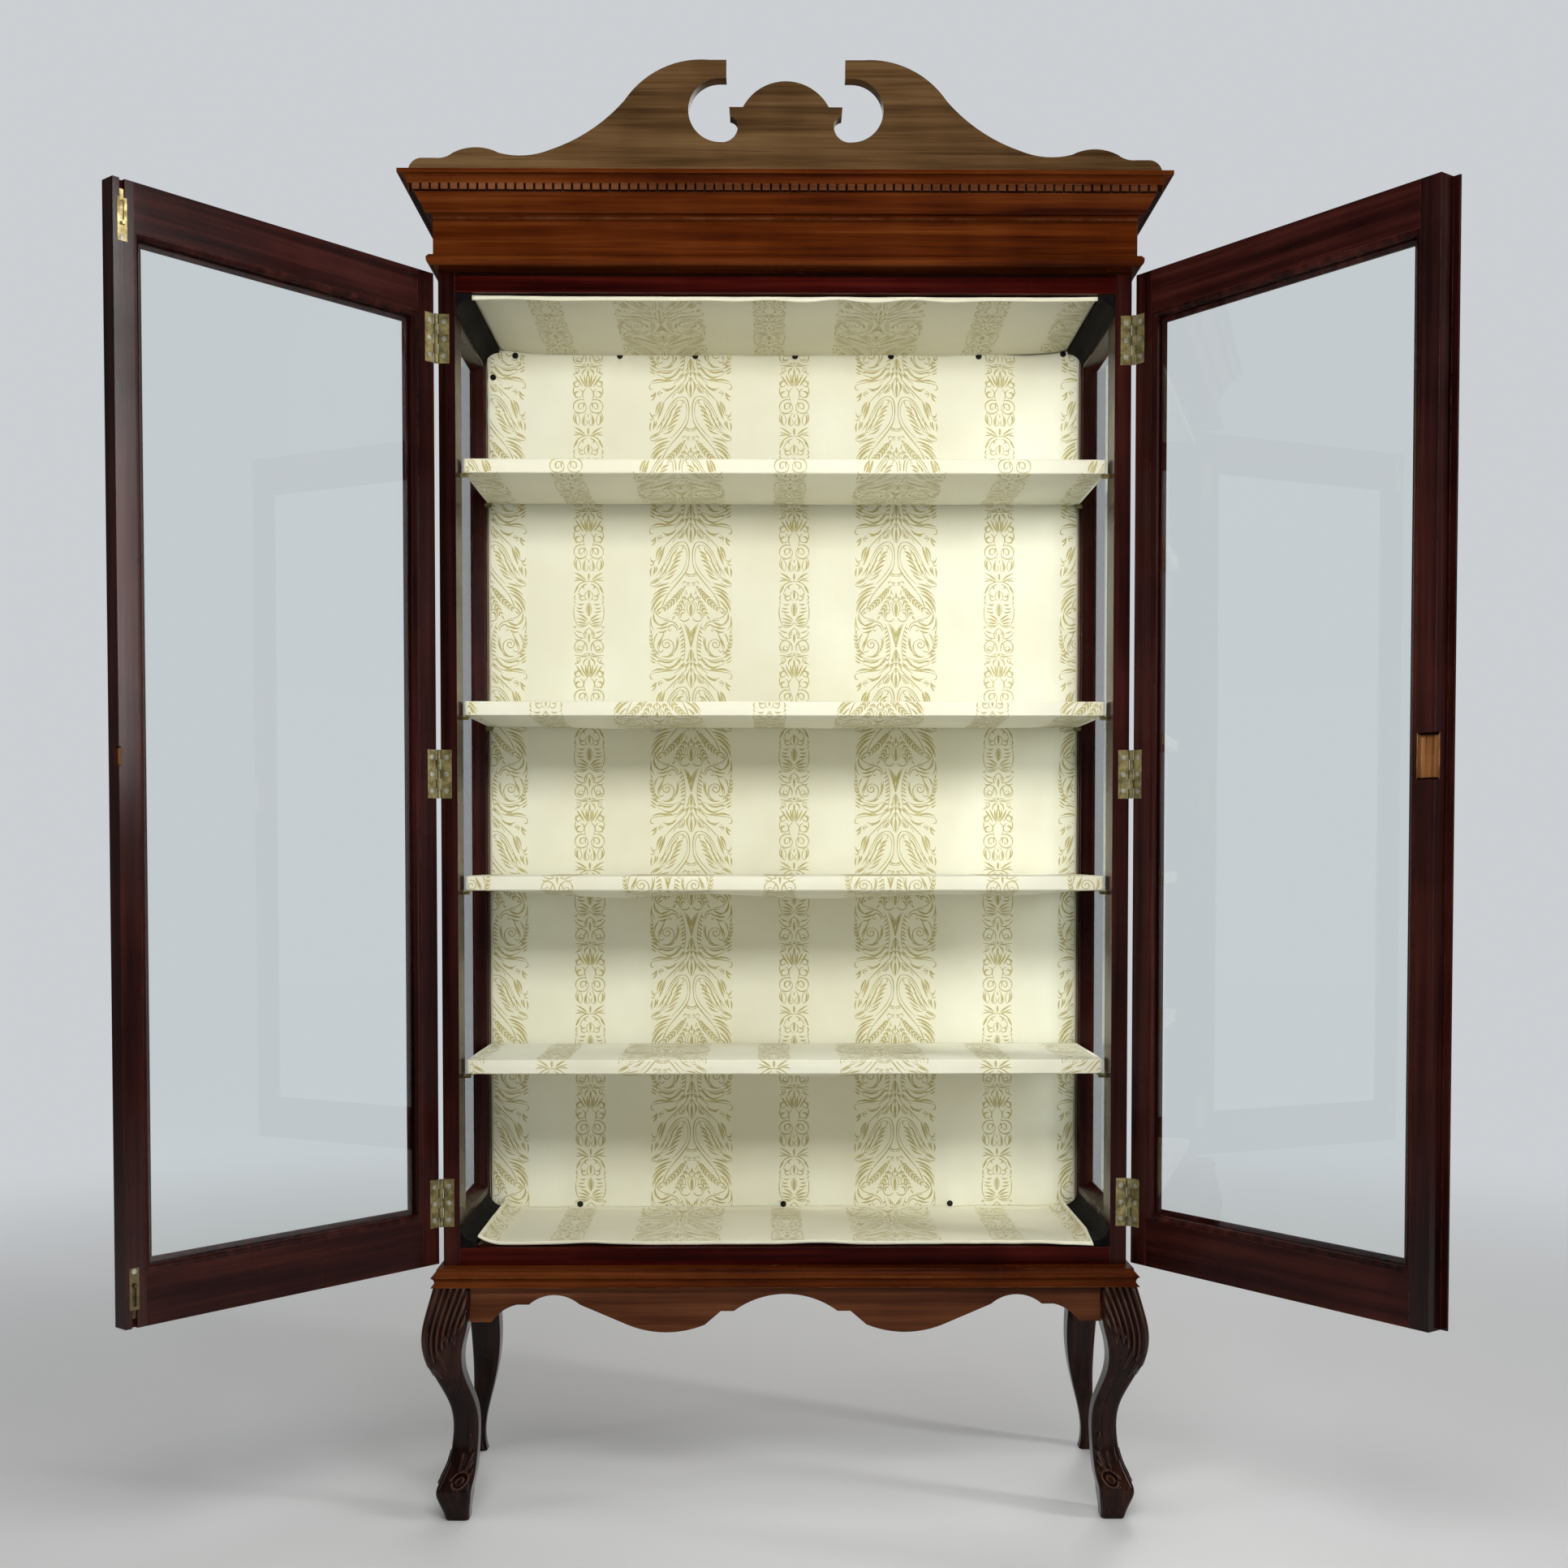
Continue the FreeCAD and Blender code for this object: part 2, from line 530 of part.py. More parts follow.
leaves, pins, caseScrews = [], [], []
for sign, word in ((-1, "left"), (1, "right")):
    xs = flip(sign, inner, side)
    blank = box("front_%s_post_blank" % word, xs, (front, "%s + front_post_depth" % front),
                (baseTop, hoodBottom))
    seats = []
    for level, height in hingeHeights.items():
        tag = "%s_%s" % (word, level)
        seats.append(hingeSeats("post_seat_" + tag, "%d * %s" % (sign, side), front, -sign, asIs, height))
        turn = asIs if sign < 0 else aboutY
        axisX = "%d * %s" % (sign, hingeX)
        leaves.append(copy("case_leaf_" + tag, caseLeaf, axisX, hingeY, height, turn))
        pins.append(copy("pin_" + tag, hingePin, axisX, hingeY, height))
        caseScrews += [copy("case_screw_%s_%d" % (tag, k), screw, "%s - %d * %s" % (axisX, sign, screwX),
                            front,
                            "%s + %d * screw_spacing" % (height, k)) for k in (-1, 0, 1)]
    node("front_%s_post" % word, cut("front_%s_post" % word, blank, seats + pinHoles(word, sign, "front")))
    blank = box("back_%s_post_blank" % word, xs, ("%s - back_post_depth" % back, back),
                (baseTop, hoodBottom))
    node("back_%s_post" % word, cut("back_%s_post" % word, blank, pinHoles(word, sign, "back")))
node("case_hinge_leaves", group("case_hinge_leaves", leaves))
node("hinge_pins", group("hinge_pins", pins))
node("case_hinge_screws", group("case_hinge_screws", caseScrews))
railYs = (front, "%s + rail_depth" % front)
node("front_rails", group("front_rails", [
    box("sill_rail", ("-" + inner, inner), railYs, (baseTop, floorTop)),
    box("head_rail", ("-" + inner, inner), railYs, (ceilingUnder, hoodBottom)),
]))

# Glazed sides: rails between the posts, a pane, a thin outer bead and a sloping inner bead
openFront = "(%s + front_post_depth)" % front
openBack = "(%s - back_post_depth)" % back
openLow = "(%s + side_bottom_rail)" % baseTop
openHigh = "(%s - side_top_rail)" % hoodBottom
sideRails, sidePanes, sideBeads, battens = [], [], [], []
for sign, word in ((-1, "left"), (1, "right")):
    xs = flip(sign, inner, side)
    sideRails.append(box("%s_side_bottom_rail" % word, xs, (openFront, openBack), (baseTop, openLow)))
    sideRails.append(box("%s_side_top_rail" % word, xs, (openFront, openBack), (openHigh, hoodBottom)))
    paneFar = "(%s - side_outer_bead)" % side
    paneNear = "(%s - side_outer_bead - pane_thickness)" % side
    sidePanes.append(box("%s_pane" % word, flip(sign, paneNear, paneFar),
                         ("%s + pane_clearance" % openFront, "%s - pane_clearance" % openBack),
                         ("%s + pane_clearance" % openLow, "%s - pane_clearance" % openHigh)))
    ends = [("%d * %s" % (sign, paneFar), "%d * %s" % (sign, side), "side_outer_lap", "side_outer_lap"),
            ("%d * %s" % (sign, inner), "%d * %s" % (sign, paneNear), "side_bead_nose", "side_inner_lap")]
    for i, (xInner, xOuter, lapInner, lapOuter) in enumerate(ends):
        sideBeads.append(beadFrame("%s_bead_%d" % (word, i), openFront, openBack, openLow, openHigh,
                                   xInner, [
            (xInner, openFront), (xOuter, openFront), (xOuter, "%s + %s" % (openFront, lapOuter)),
            (xInner, "%s + %s" % (openFront, lapInner))], "YZ_Plane"))
    battenXs = ("%s - batten_width" % inner, inner)
    battenYs = ("%s + batten_setback" % front, clothEnd)
    for low, high, nose in ((floorTop, "%s + batten_height" % floorTop, 1),
                            ("%s - batten_height" % ceilingUnder, ceilingUnder, -1)):
        x0, x1 = "%d * (%s)" % (sign, battenXs[0]), "%d * %s" % (sign, inner)
        shoulder = "%s + batten_height - batten_width" % low if nose > 0 else "%s + batten_width" % low
        foot, crown = (low, high) if nose > 0 else (high, low)
        bow = quarterBow * sign * nose
        battens.append(board("%s_batten_%s" % (word, "low" if nose > 0 else "high"), "XZ_Plane",
                             [(x1, foot), (x1, crown, -bow), (x0, shoulder), (x0, foot)],
                             "-(%s)" % battenYs[1], span(*battenYs)))
node("side_rails", group("side_rails", sideRails))
node("side_glass", group("side_glass", sidePanes))
node("side_beads", group("side_beads", sideBeads))
node("battens", group("battens", battens))
boardYs = ("%s + rail_depth" % front, panelFront)
node("floor_board", box("floor_board", ("-" + inner, inner), boardYs, (baseTop, floorTop)))
node("ceiling_board", box("ceiling_board", ("-" + inner, inner), boardYs,
                          (ceilingUnder, "%s + ceiling_board" % ceilingUnder)))
node("back_panel", box("back_panel", ("-" + inner, inner), (panelFront, "%s + back_panel" % panelFront),
                       (baseTop, hoodBottom)))

# Hood: a frieze frame closed by two boards, with its mouldings and the pediment
friezeOuter = box("frieze_outer", ("-" + friezeSide, friezeSide), (friezeFront, back),
                  (hoodBottom, hoodTop))
hoodXs = ("-(%s - frieze_thickness)" % friezeSide, "%s - frieze_thickness" % friezeSide)
hoodYs = ("%s + frieze_thickness" % friezeFront, "%s - frieze_thickness" % back)
friezeInner = box("frieze_inner", hoodXs, hoodYs, (hoodBottom, hoodTop))
node("frieze", cut("frieze", friezeOuter, [friezeInner]))
upperKeeper = rod("upper_keeper", keeperRadius, "keeper_depth", keeperX, keeperY, hoodBottom)
hoodBlank = box("hood_board_blank", hoodXs, hoodYs, (hoodBottom, "%s + hood_board" % hoodBottom))
node("hood_boards", group("hood_boards", [
    cut("hood_board", hoodBlank, [upperKeeper]),
    box("top_board", hoodXs, hoodYs, ("%s - top_board" % hoodTop, hoodTop)),
]))
node("frieze_lip", moulding("frieze_lip", friezeSide, friezeFront, hoodBottom, [
    ("0", "0"), ("0.45 * lip_overhang", "0", 0.3), ("lip_overhang", "0.5 * lip_height"),
    ("lip_overhang", "0.72 * lip_height"), ("0.6 * lip_overhang", "lip_height"), ("0", "lip_height")]))
corniceLow = "(%s - cornice_height)" % hoodTop
dentilTop = "(cornice_height - cornice_fillet - cornice_ovolo - cornice_fillet / 2)"
dentilLow = "(%s - dentil_band)" % dentilTop
node("cornice", moulding("cornice", friezeSide, friezeFront, corniceLow, [
    ("0", "0"), ("cornice_bead / 2", "0", -0.95), ("cornice_bead / 2", "cornice_bead"),
    ("cornice_bead", "cornice_bead"), ("dentil_recess - 2", "%s - cornice_fillet / 2" % dentilLow),
    ("dentil_recess - 2", dentilLow), ("dentil_recess", dentilLow), ("dentil_recess", dentilTop),
    ("dentil_recess + dentil_depth", dentilTop),
    ("dentil_recess + dentil_depth", "%s + cornice_fillet / 2" % dentilTop, -0.35),
    ("cornice_overhang - 1.5", "cornice_height - cornice_fillet"),
    ("cornice_overhang", "cornice_height - cornice_fillet"),
    ("cornice_overhang", "cornice_height"), ("0", "cornice_height")]))


def dentilStrip(name, length):
    """A strip of teeth along X, from the origin, with its back on the XZ plane and its teeth towards -Y."""
    body = doc.addObject("PartDesign::Body", name)
    web = sketch(body, name + "_web", "XZ_Plane")
    outline(web, [("0", "0"), (length, "0"), (length, "dentil_band"), ("0", "dentil_band")])
    webPad = body.newObject("PartDesign::Pad", name + "_web_pad")
    webPad.Profile = web
    bind(webPad, "Length", "dentil_web")
    tooth = sketch(body, name + "_tooth", "XZ_Plane")
    outline(tooth, [("0", "0"), ("dentil_pitch - dentil_gap", "0"),
                    ("dentil_pitch - dentil_gap", "dentil_band"),
                    ("0", "dentil_band")])
    toothPad = body.newObject("PartDesign::Pad", name + "_tooth_pad")
    toothPad.Profile = tooth
    bind(toothPad, "Length", "dentil_depth")
    row = body.newObject("PartDesign::LinearPattern", name + "_row")
    row.Originals = [toothPad]
    row.Direction = (web, ["H_Axis"])
    bind(row, "Occurrences", "floor((%s + dentil_gap) / dentil_pitch)" % length)
    bind(row, "Length", "(floor((%s + dentil_gap) / dentil_pitch) - 1) * dentil_pitch" % length)
    body.Tip = row
    return body


dentilZ = "(%s + %s)" % (corniceLow, dentilLow)
frontLength = "(2 * (%s + dentil_recess))" % friezeSide
sideLength = "(case_depth + frieze_front + dentil_recess)"
frontDentils = dentilStrip("front_dentils", frontLength)
sideDentils = dentilStrip("side_dentils", sideLength)
dentilX = "(%s + dentil_recess)" % friezeSide
node("dentils", group("dentils", [
    copy("dentils_front", frontDentils, "-" + dentilX, "%s - dentil_recess" % friezeFront, dentilZ),
    copy("dentils_left", sideDentils, "-" + dentilX, back, dentilZ,
         FreeCAD.Rotation(FreeCAD.Vector(0, 0, 1), -90)),
    copy("dentils_right", sideDentils, dentilX, "%s - dentil_recess" % friezeFront, dentilZ,
         FreeCAD.Rotation(FreeCAD.Vector(0, 0, 1), 90)),
]))

# Pediment: a fretted board with a shoulder and a hump at each end, two swan necks and a domed tablet
pedimentEnd = "(%s + cornice_overhang - pediment_end)" % friezeSide
holeZ = "(%s + pediment_height - pediment_nose - pediment_hole_radius)" % hoodTop
holeLeft = "(pediment_hole_x + pediment_hole_radius)"
shoulderZ = "(%s + pediment_shoulder)" % hoodTop
run = "(%s - %s)" % (pedimentEnd, holeLeft)
noseZ = "(%s + pediment_height)" % hoodTop
curl = "(0.45 * (tablet_ear_half - pediment_gap_half + pediment_hole_radius))"
pedimentHalf = [
    ("-" + pedimentEnd, hoodTop, 0.41),
    ("-%s + 0.85 * pediment_shoulder" % pedimentEnd, shoulderZ),
    ("-%s + 1.8 * pediment_shoulder" % pedimentEnd, shoulderZ, -0.2),
    ("-%s + 0.16 * %s" % (pedimentEnd, run), "%s + pediment_hump" % shoulderZ, 0.24),
    ("-%s + 0.325 * %s" % (pedimentEnd, run), "%s + pediment_hump" % shoulderZ, -0.16),
    ("-%s + 0.51 * %s" % (pedimentEnd, run), "%s + 1.7 * pediment_hump" % shoulderZ, -0.13),
    ("-%s + 0.772 * %s" % (pedimentEnd, run), "%s + 0.64 * (%s - %s)" % (hoodTop, noseZ, hoodTop), 0.27),
    ("-pediment_hole_x - pediment_hole_radius / 3", noseZ),
    ("-pediment_gap_half", noseZ),
    ("-pediment_gap_half", "%s - pediment_nose" % noseZ),
    ("-pediment_hole_x", "%s - pediment_nose" % noseZ, -0.4142),
    ("-" + holeLeft, holeZ, -0.4142),
    ("-pediment_hole_x", "%s - pediment_hole_radius" % holeZ, -0.45),
    ("-tablet_ear_half + 11", "%s - pediment_hole_radius / 2" % holeZ, -0.4),
    ("-tablet_ear_half + 1", "%s + tablet_height - 12" % hoodTop),
    ("-tablet_ear_half", "%s + tablet_height" % hoodTop),
    ("-tablet_half", "%s + tablet_height" % hoodTop, 0.594),
]
pedimentFace = "(%s - cornice_overhang + pediment_setback)" % friezeFront
pediment = board("pediment", "XZ_Plane", mirrored(pedimentHalf),
                 "-(%s + pediment_thickness)" % pedimentFace,
                 "pediment_thickness")
node("pediment", pediment)

# Doors, each in its own frame: X from the hinge axis along the door, Y to the back when it is closed
boltSpots = {"top": (doorTop, -1), "bottom": (doorBottom, 1)}
boltGrooveDepth = "(bolt_plate_thickness + bolt_depth + 2 * bolt_clearance)"
plates, plateScrews = [], []


def boltSeat(level, edge, way):
    """The plate's recess, the bolt's groove to the end of the stile, and the plate's screw holes."""
    near, far = "%s + %d * bolt_plate_inset" % (edge,
        way), "%s + %d * (bolt_plate_inset + bolt_plate_height)" % (edge, way)
    zs = (near, far) if way > 0 else (far, near)
    recess = box("bolt_recess_" + level, ("%s - bolt_plate_width / 2 - leaf_fit" % boltX,
                                          "%s + bolt_plate_width / 2 + leaf_fit" % boltX),
                 ("%s - bolt_plate_thickness" % doorBack, doorBack), zs)
    grooveEnd = "%s + %d * (bolt_tip + bolt_length + bolt_clearance)" % (edge, way)
    grooveZs = (edge, grooveEnd) if way > 0 else (grooveEnd, edge)
    groove = box("bolt_groove_" + level, ("%s - bolt_width / 2 - bolt_clearance" % boltX,
                                          "%s + bolt_width / 2 + bolt_clearance" % boltX),
                 ("%s - %s" % (doorBack, boltGrooveDepth), doorBack), grooveZs)
    holes = [copy("bolt_hole_%s_%d" % (level, i), screwHole, x, doorBack, z, aboutX)
             for i, (x, z) in enumerate(boltScrewSpots(edge, way))]
    return [recess, groove] + holes


def boltScrewSpots(edge, way):
    ends = ("bolt_plate_inset + bolt_plate_height - bolt_screw_inset",)
    return [(boltX, "%s + %d * (%s)" % (edge, way, end)) for end in ends]


for word, sign in (("left", 1), ("right", -1)):
    door = "%s_door" % word
    ys = (doorFace, doorBack)
    stileNear, stileFar = "hinge_offset", "(%s - door_stile)" % doorEdge
    hingeStile = box("%s_hinge_stile_blank" % word, flip(sign, stileNear, "%s + door_stile" % stileNear),
                     ys,
                     (doorBottom, doorTop))
    seats, doorLeaves, doorScrews = [], [], []
    turn = aboutX if sign > 0 else aboutZ
    for level, height in hingeHeights.items():
        tag = "%s_%s" % (word, level)
        seats.append(hingeSeats("stile_seat_" + tag, "%d * hinge_offset" % sign, doorBack, 1, turn, height))
        doorLeaves.append(copy("door_leaf_" + tag, doorLeaf, "0", "0", height, turn))
        doorScrews += [copy("door_screw_%s_%d" % (tag, k), screw, "%d * %s" % (sign, screwX), doorBack,
                            "%s + %d * screw_spacing" % (height, k), aboutX) for k in (-1, 0, 1)]
    node("%s_hinge_stile" % word, cut("%s_hinge_stile" % word, hingeStile, seats), door)
    meeting = box("%s_meeting_stile_blank" % word, flip(sign, stileFar, doorEdge), ys,
                  (doorBottom, doorTop))
    lockZ = "(%s + lock_centre)" % doorBottom
    if word == "left":
        tools = [box("strike_chip", ("%s - strike_depth" % doorEdge, doorEdge),
                     ("%s - strike_width" % doorBack, doorBack),
                     ("%s - strike_height / 2" % lockZ, "%s + strike_height / 2" % lockZ))]
        for level, (edge, way) in boltSpots.items():
            tools += boltSeat(level, edge, way)
    else:
        tools = [box("lock_recess", flip(sign, "%s - lock_width" % doorEdge, doorEdge),
                     ("%s - lock_depth" % doorBack, doorBack),
                     ("%s - lock_height / 2" % lockZ, "%s + lock_height / 2" % lockZ))]
    node("%s_meeting_stile" % word, cut("%s_meeting_stile" % word, meeting, tools), door)
    railXs = flip(sign, "%s + door_stile" % stileNear, stileFar)
    glassLow, glassHigh = "(%s + door_bottom_rail)" % doorBottom, "(%s - door_top_rail)" % doorTop
    node("%s_door_rails" % word, group("%s_door_rails" % word, [
        box("%s_top_rail" % word, railXs, ys, (glassHigh, doorTop)),
        box("%s_bottom_rail" % word, railXs, ys, (doorBottom, glassLow)),
    ]), door)
    paneBack = "(%s - inner_bead_depth)" % doorBack
    paneFace = "(%s - inner_bead_depth - pane_thickness)" % doorBack
    node("%s_glass" % word, box("%s_door_pane" % word,
                                ("%s + pane_clearance" % railXs[0], "%s - pane_clearance" % railXs[1]),
                                (paneFace, paneBack),
                                ("%s + pane_clearance" % glassLow, "%s - pane_clearance" % glassHigh),
                                door))
    nearX, farX = railXs
    innerBead = beadFrame("%s_inner_bead" % word, nearX, farX, glassLow, glassHigh, "-" + doorBack, [
        (nearX, doorBack), (nearX, paneBack), ("%s + inner_bead" % nearX, paneBack),
        ("%s + inner_bead" % nearX, "%s + bead_nose" % paneBack, -0.35),
        ("%s + bead_nose" % nearX, doorBack)],
        "XZ_Plane")
    outerBead = beadFrame("%s_outer_bead" % word, nearX, farX, glassLow, glassHigh, "-" + paneFace, [
        (nearX, paneFace), (nearX, doorFace), ("%s + outer_bead / 3" % nearX, doorFace, -0.35),
        ("%s + outer_bead" % nearX, "%s - bead_nose" % paneFace), ("%s + outer_bead" % nearX, paneFace)],
        "XZ_Plane")
    node("%s_glazing_beads" % word, group("%s_glazing_beads" % word, [innerBead, outerBead]), door)
    node("%s_hinge_leaves" % word, group("%s_hinge_leaves" % word, doorLeaves), door)
    if word == "left":
        for level, (edge, way) in boltSpots.items():
            doorScrews += [copy("bolt_screw_%s_%d" % (level, i), screw, x, doorBack, z, aboutX)
                           for i, (x, z) in enumerate(boltScrewSpots(edge, way))]
    node("%s_door_screws" % word, group("%s_door_screws" % word, doorScrews), door)

# Astragal on the right door's face, lapping over the left door
astragalTip = "(%s + astragal_lap)" % doorEdge
node("astragal", board("astragal", "XY_Plane", [
    ("-" + doorEdge, doorFace), ("-" + doorEdge, "%s - astragal_relief" % doorFace),
    ("-" + astragalTip, "%s - astragal_relief" % doorFace),
    ("-" + astragalTip, "%s - astragal_thickness / 2" % doorFace, -0.3),
    ("-%s + astragal_width / 3" % astragalTip, "%s - astragal_thickness" % doorFace),
    ("-%s + 2 * astragal_width / 3" % astragalTip, "%s - astragal_thickness" % doorFace, -0.3),
    ("-%s + astragal_width" % astragalTip, "%s - astragal_thickness / 2" % doorFace),
    ("-%s + astragal_width" % astragalTip, doorFace)], doorBottom, span(doorBottom, doorTop)), "right_door")

# Flush bolts of the left door: a slotted plate and the bolt with its knob
for level, (edge, way) in boltSpots.items():
    near, far = "%s + %d * bolt_plate_inset" % (edge,
        way), "%s + %d * (bolt_plate_inset + bolt_plate_height)" % (edge, way)
    zs = (near, far) if way > 0 else (far, near)
    plateYs = ("%s - bolt_plate_thickness" % doorBack, doorBack)
    blank = box("bolt_plate_blank_" + level,
                ("%s - bolt_plate_width / 2" % boltX, "%s + bolt_plate_width / 2" % boltX),
                plateYs, zs)
    tail = "(%s + %d * (bolt_tip + bolt_length))" % (edge, way)
    knobZ = "(%s - %d * bolt_knob_up)" % (tail, way)
    slotFar = "(%s - %d * bolt_throw)" % (knobZ, way)
    slotZs = (slotFar, knobZ) if way > 0 else (knobZ, slotFar)
    reach = "(bolt_knob + bolt_clearance)"
    slot = box("bolt_slot_" + level, ("%s - %s" % (boltX, reach), "%s + %s" % (boltX, reach)),
               ("%s - bolt_plate_thickness" % doorBack, doorBack),
               ("%s - (%s)" % (slotZs[0], reach), "%s + %s" % (slotZs[1], reach)))
    holes = [copy("plate_sink_%s_%d" % (level, i), screwHole, x, doorBack, z, aboutX)
             for i, (x, z) in enumerate(boltScrewSpots(edge, way))]
    plates.append(cut("bolt_plate_" + level, blank, [slot] + holes))
    tip = "(%s + %d * bolt_tip)" % (edge, way)
    barZs = (tip, tail) if way > 0 else (tail, tip)
    barYs = ("%s - %s - bolt_depth / 2" % ("0", boltMiddle), "%s - %s + bolt_depth / 2" % ("0", boltMiddle))
    bar = box("bolt_bar_" + level, ("%s - bolt_width / 2" % boltX, "%s + bolt_width / 2" % boltX), barYs,
              barZs)
    knob = rod("bolt_knob_" + level, "bolt_knob",
               "bolt_depth / 2 + bolt_clearance + bolt_plate_thickness + bolt_knob_reach",
               boltX, "%s + bolt_knob_reach" % doorBack, knobZ)
    knob.Placement.Rotation = FreeCAD.Rotation(FreeCAD.Vector(1, 0, 0), 90)
    node("%s_bolt" % level, fuse("%s_bolt" % level, [bar, knob]), "left_door")
node("bolt_plates", group("bolt_plates", plates), "left_door")

# Shelves in loose cloth covers, lying on pins in the posts
pinsOnPosts = []
for name, height in shelfHeights.items():
    boardYs = ("%s + %s" % (coverFront, skin), "%s - %s" % (coverBack, skin))
    boardZs = ("%s - %s - shelf_thickness" % (height, skin), "%s - %s" % (height, skin))
    node(name + "_board", box(name + "_board_box", ("-" + shelfHalf, shelfHalf), boardYs, boardZs))
    low = "(%s - shelf_thickness - 2 * %s)" % (height, skin)
    wrap = board(name + "_wrap", "YZ_Plane", [
        (coverFront, low), ("%s + cover_hem" % coverFront, low, "-cover_sag"),
        ("%s - cover_hem" % coverBack, low),
        (coverBack, low), (coverBack, height), ("%s + cover_hem / 8" % coverFront, height, 0.414),
        (coverFront, "%s - cover_hem / 8" % height)], "-" + shelfHalf, "2 * " + shelfHalf)
    hollow = box(name + "_hollow", ("-%s - 1" % shelfHalf, "%s + 1" % shelfHalf),
                 ("%s - cover_fit" % boardYs[0], "%s + cover_fit" % boardYs[1]),
                 ("%s - cover_fit" % boardZs[0], "%s + cover_fit" % boardZs[1]))
    node(name + "_cover", cut(name + "_cover", wrap, [hollow]))
    seat = "(%s - %s)" % (height, pinDepth)
    for sign in (-1, 1):
        for end, y in pinPlaces.items():
            tag = "%s_%d_%s" % (name, sign, end)
            spade = box("spade_" + tag, flip(sign, "%s - pin_plate_reach" % inner, inner),
                        ("%s - pin_plate / 2" % y, "%s + pin_plate / 2" % y),
                        ("%s - pin_plate_thickness" % seat, seat))
            stem = rod("stem_" + tag, "pin_stem_radius", "0.9 * pin_plate_reach + pin_stem_bore",
                       "%d * (%s - 0.9 * pin_plate_reach)" % (sign, inner), y,
                       "%s - pin_stem_radius" % seat)
            stem.Placement.Rotation = FreeCAD.Rotation(FreeCAD.Vector(0, 1, 0), 90 * sign)
            pinsOnPosts.append(fuse("pin_" + tag, [spade, stem]))
node("shelf_pins", group("shelf_pins", pinsOnPosts))

# Linings: the back cloth hangs in shallow folds, the ceiling cloth sags, the floor cloth's ends turn up
liningHalf = "(%s - batten_width - lining_fit)" % inner
backHalf = "(%s - lining_edge)" % inner
foldCount = 7
foldStep = "(2 * %s / %d)" % (backHalf, foldCount)
backPoints = [("-" + backHalf, clothBack)]
for i in range(foldCount):
    for along, rise in ((0, 0), (0.25, 0.75), (0.5, 1), (0.75, 0.75)):
        backPoints.append(("-%s + %s * %s" % (backHalf, i + along, foldStep),
                           "%s - %s * lining_fold" % (clothFront, rise)))
backPoints += [(backHalf, clothFront), (backHalf, clothBack)]
clothLow = "(%s + floor_sheet + lining_edge)" % floorTop
clothHigh = "(%s - lining_thickness - lining_edge)" % ceilingUnder
node("back_lining", board("back_lining", "XY_Plane", backPoints, clothLow, span(clothLow, clothHigh)))
ceilingTop = "(%s - lining_fit)" % ceilingUnder
clothYs = ("%s + rail_depth / 2" % front, clothEnd)
node("ceiling_lining", board("ceiling_lining", "XZ_Plane", [
    ("-" + liningHalf, ceilingTop, "-ceiling_sag"), (liningHalf, ceilingTop),
    (liningHalf, "%s - lining_thickness" % ceilingTop, "ceiling_sag"),
    ("-" + liningHalf, "%s - lining_thickness" % ceilingTop)],
    "-(%s)" % clothYs[1], span(*clothYs)))
sheetLow = "(%s + lining_fit)" % floorTop
edge = "(4 * floor_turn_up)"
node("floor_lining", board("floor_lining", "XZ_Plane", [
    ("-" + liningHalf, "%s + floor_turn_up" % sheetLow, -0.12), ("-%s + %s" % (liningHalf, edge), sheetLow),
    ("%s - %s" % (liningHalf, edge), sheetLow, -0.12), (liningHalf, "%s + floor_turn_up" % sheetLow),
    (liningHalf, "%s + floor_turn_up + floor_sheet" % sheetLow, 0.12),
    ("%s - %s" % (liningHalf, edge), "%s + floor_sheet" % sheetLow),
    ("-%s + %s" % (liningHalf, edge), "%s + floor_sheet" % sheetLow, 0.12),
    ("-" + liningHalf, "%s + floor_turn_up + floor_sheet" % sheetLow)],
    "-(%s)" % clothYs[1], span(*clothYs)))

# Checks before anything is written
doc.recompute()
for thing in doc.Objects:
    if "Invalid" in thing.State or "Error" in thing.State:
        raise RuntimeError("%s is in state %s" % (thing.Label, thing.State))
os.makedirs("parts", exist_ok=True)
for thing in nodes:
    shape = thing.Shape
    if shape.isNull() or not shape.isValid() or not shape.Solids:
        raise RuntimeError("%s has no valid solid" % thing.Label)
    shape.exportStep("parts/%s.step" % thing.Label)
print("%d pieces, %d solids" % (len(nodes), sum(len(thing.Shape.Solids) for thing in nodes)))
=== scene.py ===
import bpy
import math
import numpy as np
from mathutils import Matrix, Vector


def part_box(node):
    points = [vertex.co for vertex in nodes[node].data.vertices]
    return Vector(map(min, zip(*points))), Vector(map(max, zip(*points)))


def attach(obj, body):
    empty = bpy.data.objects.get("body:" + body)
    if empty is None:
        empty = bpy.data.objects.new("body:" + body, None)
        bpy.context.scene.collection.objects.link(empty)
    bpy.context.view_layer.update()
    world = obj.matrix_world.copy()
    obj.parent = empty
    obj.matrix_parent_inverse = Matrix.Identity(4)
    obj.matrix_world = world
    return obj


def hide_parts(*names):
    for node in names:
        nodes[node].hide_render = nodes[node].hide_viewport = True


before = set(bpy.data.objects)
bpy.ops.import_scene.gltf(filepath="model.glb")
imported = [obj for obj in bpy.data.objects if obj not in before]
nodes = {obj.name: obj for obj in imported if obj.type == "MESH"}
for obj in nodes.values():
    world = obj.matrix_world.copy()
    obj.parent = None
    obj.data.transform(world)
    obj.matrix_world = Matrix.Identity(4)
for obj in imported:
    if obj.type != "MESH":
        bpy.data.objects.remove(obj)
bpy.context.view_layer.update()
scene = bpy.context.scene
scene.view_settings.view_transform = "Standard"
print("frame loaded:", len(nodes), "nodes")


